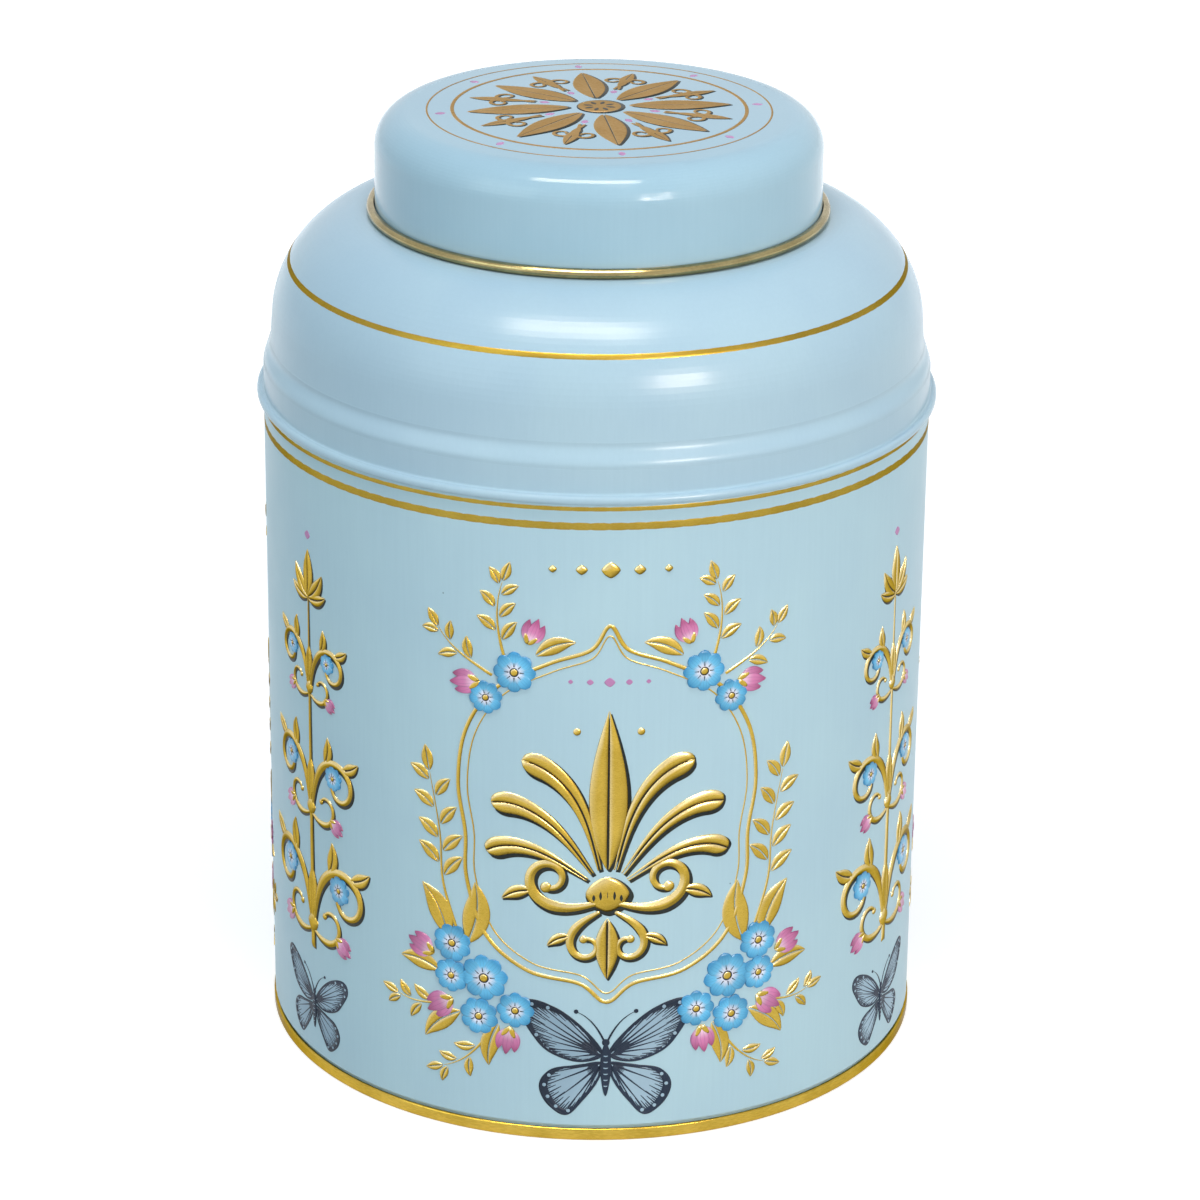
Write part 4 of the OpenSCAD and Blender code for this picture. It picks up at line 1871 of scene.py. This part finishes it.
@dataclass
class Ornament:
    """Everything printed or embossed on the tin."""

    tinware: Tinware
    front_azimuth: float = 2.6
    panels: int = 3
    panel_seed: int = 11
    column_seed: int = 29
    rosette_seed: int = 43
    rosette_turn: float = 8.0

    def build(self) -> None:
        """Builds the bands, the panels and the cap's rosette."""
        dressing = self.tinware.dressing
        wall, dome, top = (Probe(self.tinware.nodes[name])
                           for name in ("body_wall", "shoulder", "cap"))
        Band("wide_band", 145.3, 147.4, 0.35, 0.3).build(wall, dressing, "caddy")
        Band("thin_band", 149.65, 150.85, 0.35, 0.3).build(wall, dressing, "caddy")
        Band("dome_band", 182.1, 183.4, 0.15, -0.4).build(dome, dressing, "caddy")
        step = 360 / self.panels
        for k in range(self.panels):
            self.wrap(f"panel_{k + 1}", FrontPanel(Board(self.panel_seed + k)), k * step)
        for k, turn in enumerate((step / 2, -step / 2)):
            self.wrap(f"column_{k + 1}", SideColumn(Board(self.column_seed + k)), turn)
        rosette = CapRosette(Board(self.rosette_seed, leaf_base=0.05)).draw()
        surface = TopWrap(top, self.rosette_turn)
        rosette.build("cap_rosette", surface, dressing, "cap", "cap_lacquer")

    def wrap(self, name: str, drawing: Drawing, turn: float) -> None:
        """Lays a panel or a column on the body's wall.

        Args:
            name: Start of its objects' names.
            drawing: The panel or column.
            turn: Its place round the wall from the front panel, in degrees.
        """
        wall = WallWrap(self.tinware.body_radius, self.front_azimuth + turn)
        drawing.draw().build(name, wall, self.tinware.dressing, "caddy", "body_lacquer")


# ------------------------------------------------------------------------- studio


@dataclass(frozen=True)
class Softbox:
    """A square studio lamp, which gives either soft light or a highlight."""

    name: str
    place: Spot
    size: Tuple[float, float]
    power: float
    colour: Colour
    highlight: bool = False
    aim: Spot = (0.0, 0.0, 0.14)

    def build(self) -> None:
        """Makes the lamp."""
        light = bpy.data.lights.new(self.name, "AREA")
        light.shape = "RECTANGLE"
        light.size, light.size_y = self.size
        light.energy = self.power
        light.color = self.colour
        lamp = linked(self.name, light)
        lamp.location = self.place
        ahead = Vector(self.aim) - Vector(self.place)
        lamp.rotation_euler = ahead.to_track_quat("-Z", "Y").to_euler()
        lamp.visible_glossy = self.highlight
        lamp.visible_diffuse = not self.highlight
        LOG.info("lamp %s", self.name)


@dataclass(frozen=True)
class CameraView:
    """The camera, with its angles in degrees and its places in metres."""

    behind: float = 0.9510
    height: float = 0.4842
    down: float = 22.015
    right: float = 0.073
    roll: float = 0.58
    lens: float = 133.64
    sensor: float = 36.0
    nearest: float = 0.01

    def build(self) -> None:
        """Makes the camera and gives it to the scene."""
        down, right, roll = (math.radians(a) for a in (self.down, self.right, self.roll))
        ahead = Vector((math.sin(right) * math.cos(down), math.cos(right) * math.cos(down),
                        -math.sin(down)))
        level = ahead.cross(Vector((0, 0, 1))).normalized()
        above = level.cross(ahead)
        side = level * math.cos(roll) + above * math.sin(roll)
        up = above * math.cos(roll) - level * math.sin(roll)
        data = bpy.data.cameras.new("camera")
        data.lens = self.lens
        data.sensor_width = self.sensor
        data.sensor_fit = "HORIZONTAL"
        data.clip_start = self.nearest
        camera = linked("camera", data)
        turn = Matrix((side, up, -ahead)).transposed().to_4x4()
        camera.matrix_world = Matrix.Translation((0, -self.behind, self.height)) @ turn
        bpy.context.scene.camera = camera


@dataclass
class Studio:
    """Pale floor, soft lamps and white surroundings.

    Each highlight lamp stands a few centimetres nearer than the soft lamp beside it. In one
    plane with it, the soft lamp, which no gloss shows, could hide it from the gloss.
    """

    floor_half: float = 3.0
    paper: float = 0.6
    glow: float = 0.62
    glow_radii: Tuple[float, float] = (0.25, 0.9)
    ambient: Colour = (0.345, 0.42, 0.48)
    white: Colour = (1.0, 1.0, 1.0)
    lamps: Sequence[Softbox] = (
        Softbox("key_right", (0.81, -1.16, 0.55), (1.05, 0.6), 10.6, (1.0, 0.893, 0.821)),
        Softbox("overhead", (-0.10, -0.42, 1.38), (0.8, 0.26), 8.6, (0.95, 0.93, 1.0)),
        Softbox("fill_left", (-1.1, -0.9, 0.8), (1.0, 1.2), 2.5, (0.874, 1.0, 0.957)),
        Softbox("key_highlight", (0.668, -1.219, 0.619), (0.42, 0.24), 13.0,
                (1.0, 0.85, 0.74), highlight=True),
        Softbox("overhead_highlight", (-0.095, -0.40, 1.32), (0.76, 0.34), 14.5,
                (1.0, 0.84, 0.68), highlight=True),
        Softbox("fill_highlight", (-1.05, -0.86, 0.77), (0.86, 0.95), 4.6,
                (0.9, 1.0, 0.95), highlight=True),
    )

    def build(self) -> None:
        """Makes the floor, lamps, world and camera."""
        self.build_floor()
        self.build_world()
        for lamp in self.lamps:
            lamp.build()
        CameraView().build()
        bpy.context.scene.view_settings.view_transform = "Standard"

    def build_floor(self) -> None:
        """Makes the floor, which shows the caddy's shadow on white."""
        half = self.floor_half
        corners = [(-half, -half, 0), (half, -half, 0), (half, half, 0), (-half, half, 0)]
        mesh = bpy.data.meshes.new("floor")
        mesh.from_pydata(corners, [], [(0, 1, 2, 3)])
        material = bpy.data.materials.new("floor_paper")
        material.use_nodes = True
        g = Graph(material.node_tree)
        paper = g.fill(g.node("BsdfDiffuse"), Color=(self.paper,) * 3)
        across, back, _ = g.split(g.node("TexCoord").outputs["Object"])
        far = g.between(g.radius(across, back), *self.glow_radii, self.glow, 1.0)
        glow = g.fill(g.node("Emission"), Strength=g.math("MULTIPLY", g.shown(), far))
        both = g.node("AddShader")
        for socket, part in zip(both.inputs, (paper, glow)):
            g.feed(socket, part.outputs[0])
        g.fill(g.node("OutputMaterial"), Surface=both.outputs[0])
        mesh.materials.append(material)
        linked("floor", mesh)

    def build_world(self) -> None:
        """Makes white surroundings that light the caddy less than they show."""
        world = bpy.data.worlds.new("surroundings")
        bpy.context.scene.world = world
        world.use_nodes = True
        g = Graph(world.node_tree)
        back = g.fill(g.node("Background"), Color=g.mix(g.shown(), self.ambient, self.white))
        g.fill(g.node("OutputWorld"), Surface=back.outputs[0])


def main() -> None:
    """Builds the scene in order."""
    logging.basicConfig(level=logging.INFO, format="%(message)s")
    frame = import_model()
    Studio().build()
    tinware = Tinware(frame["nodes"], Dressing(Effects.build()))
    tinware.dress()
    Ornament(tinware).build()


if __name__ == "__main__":
    main()
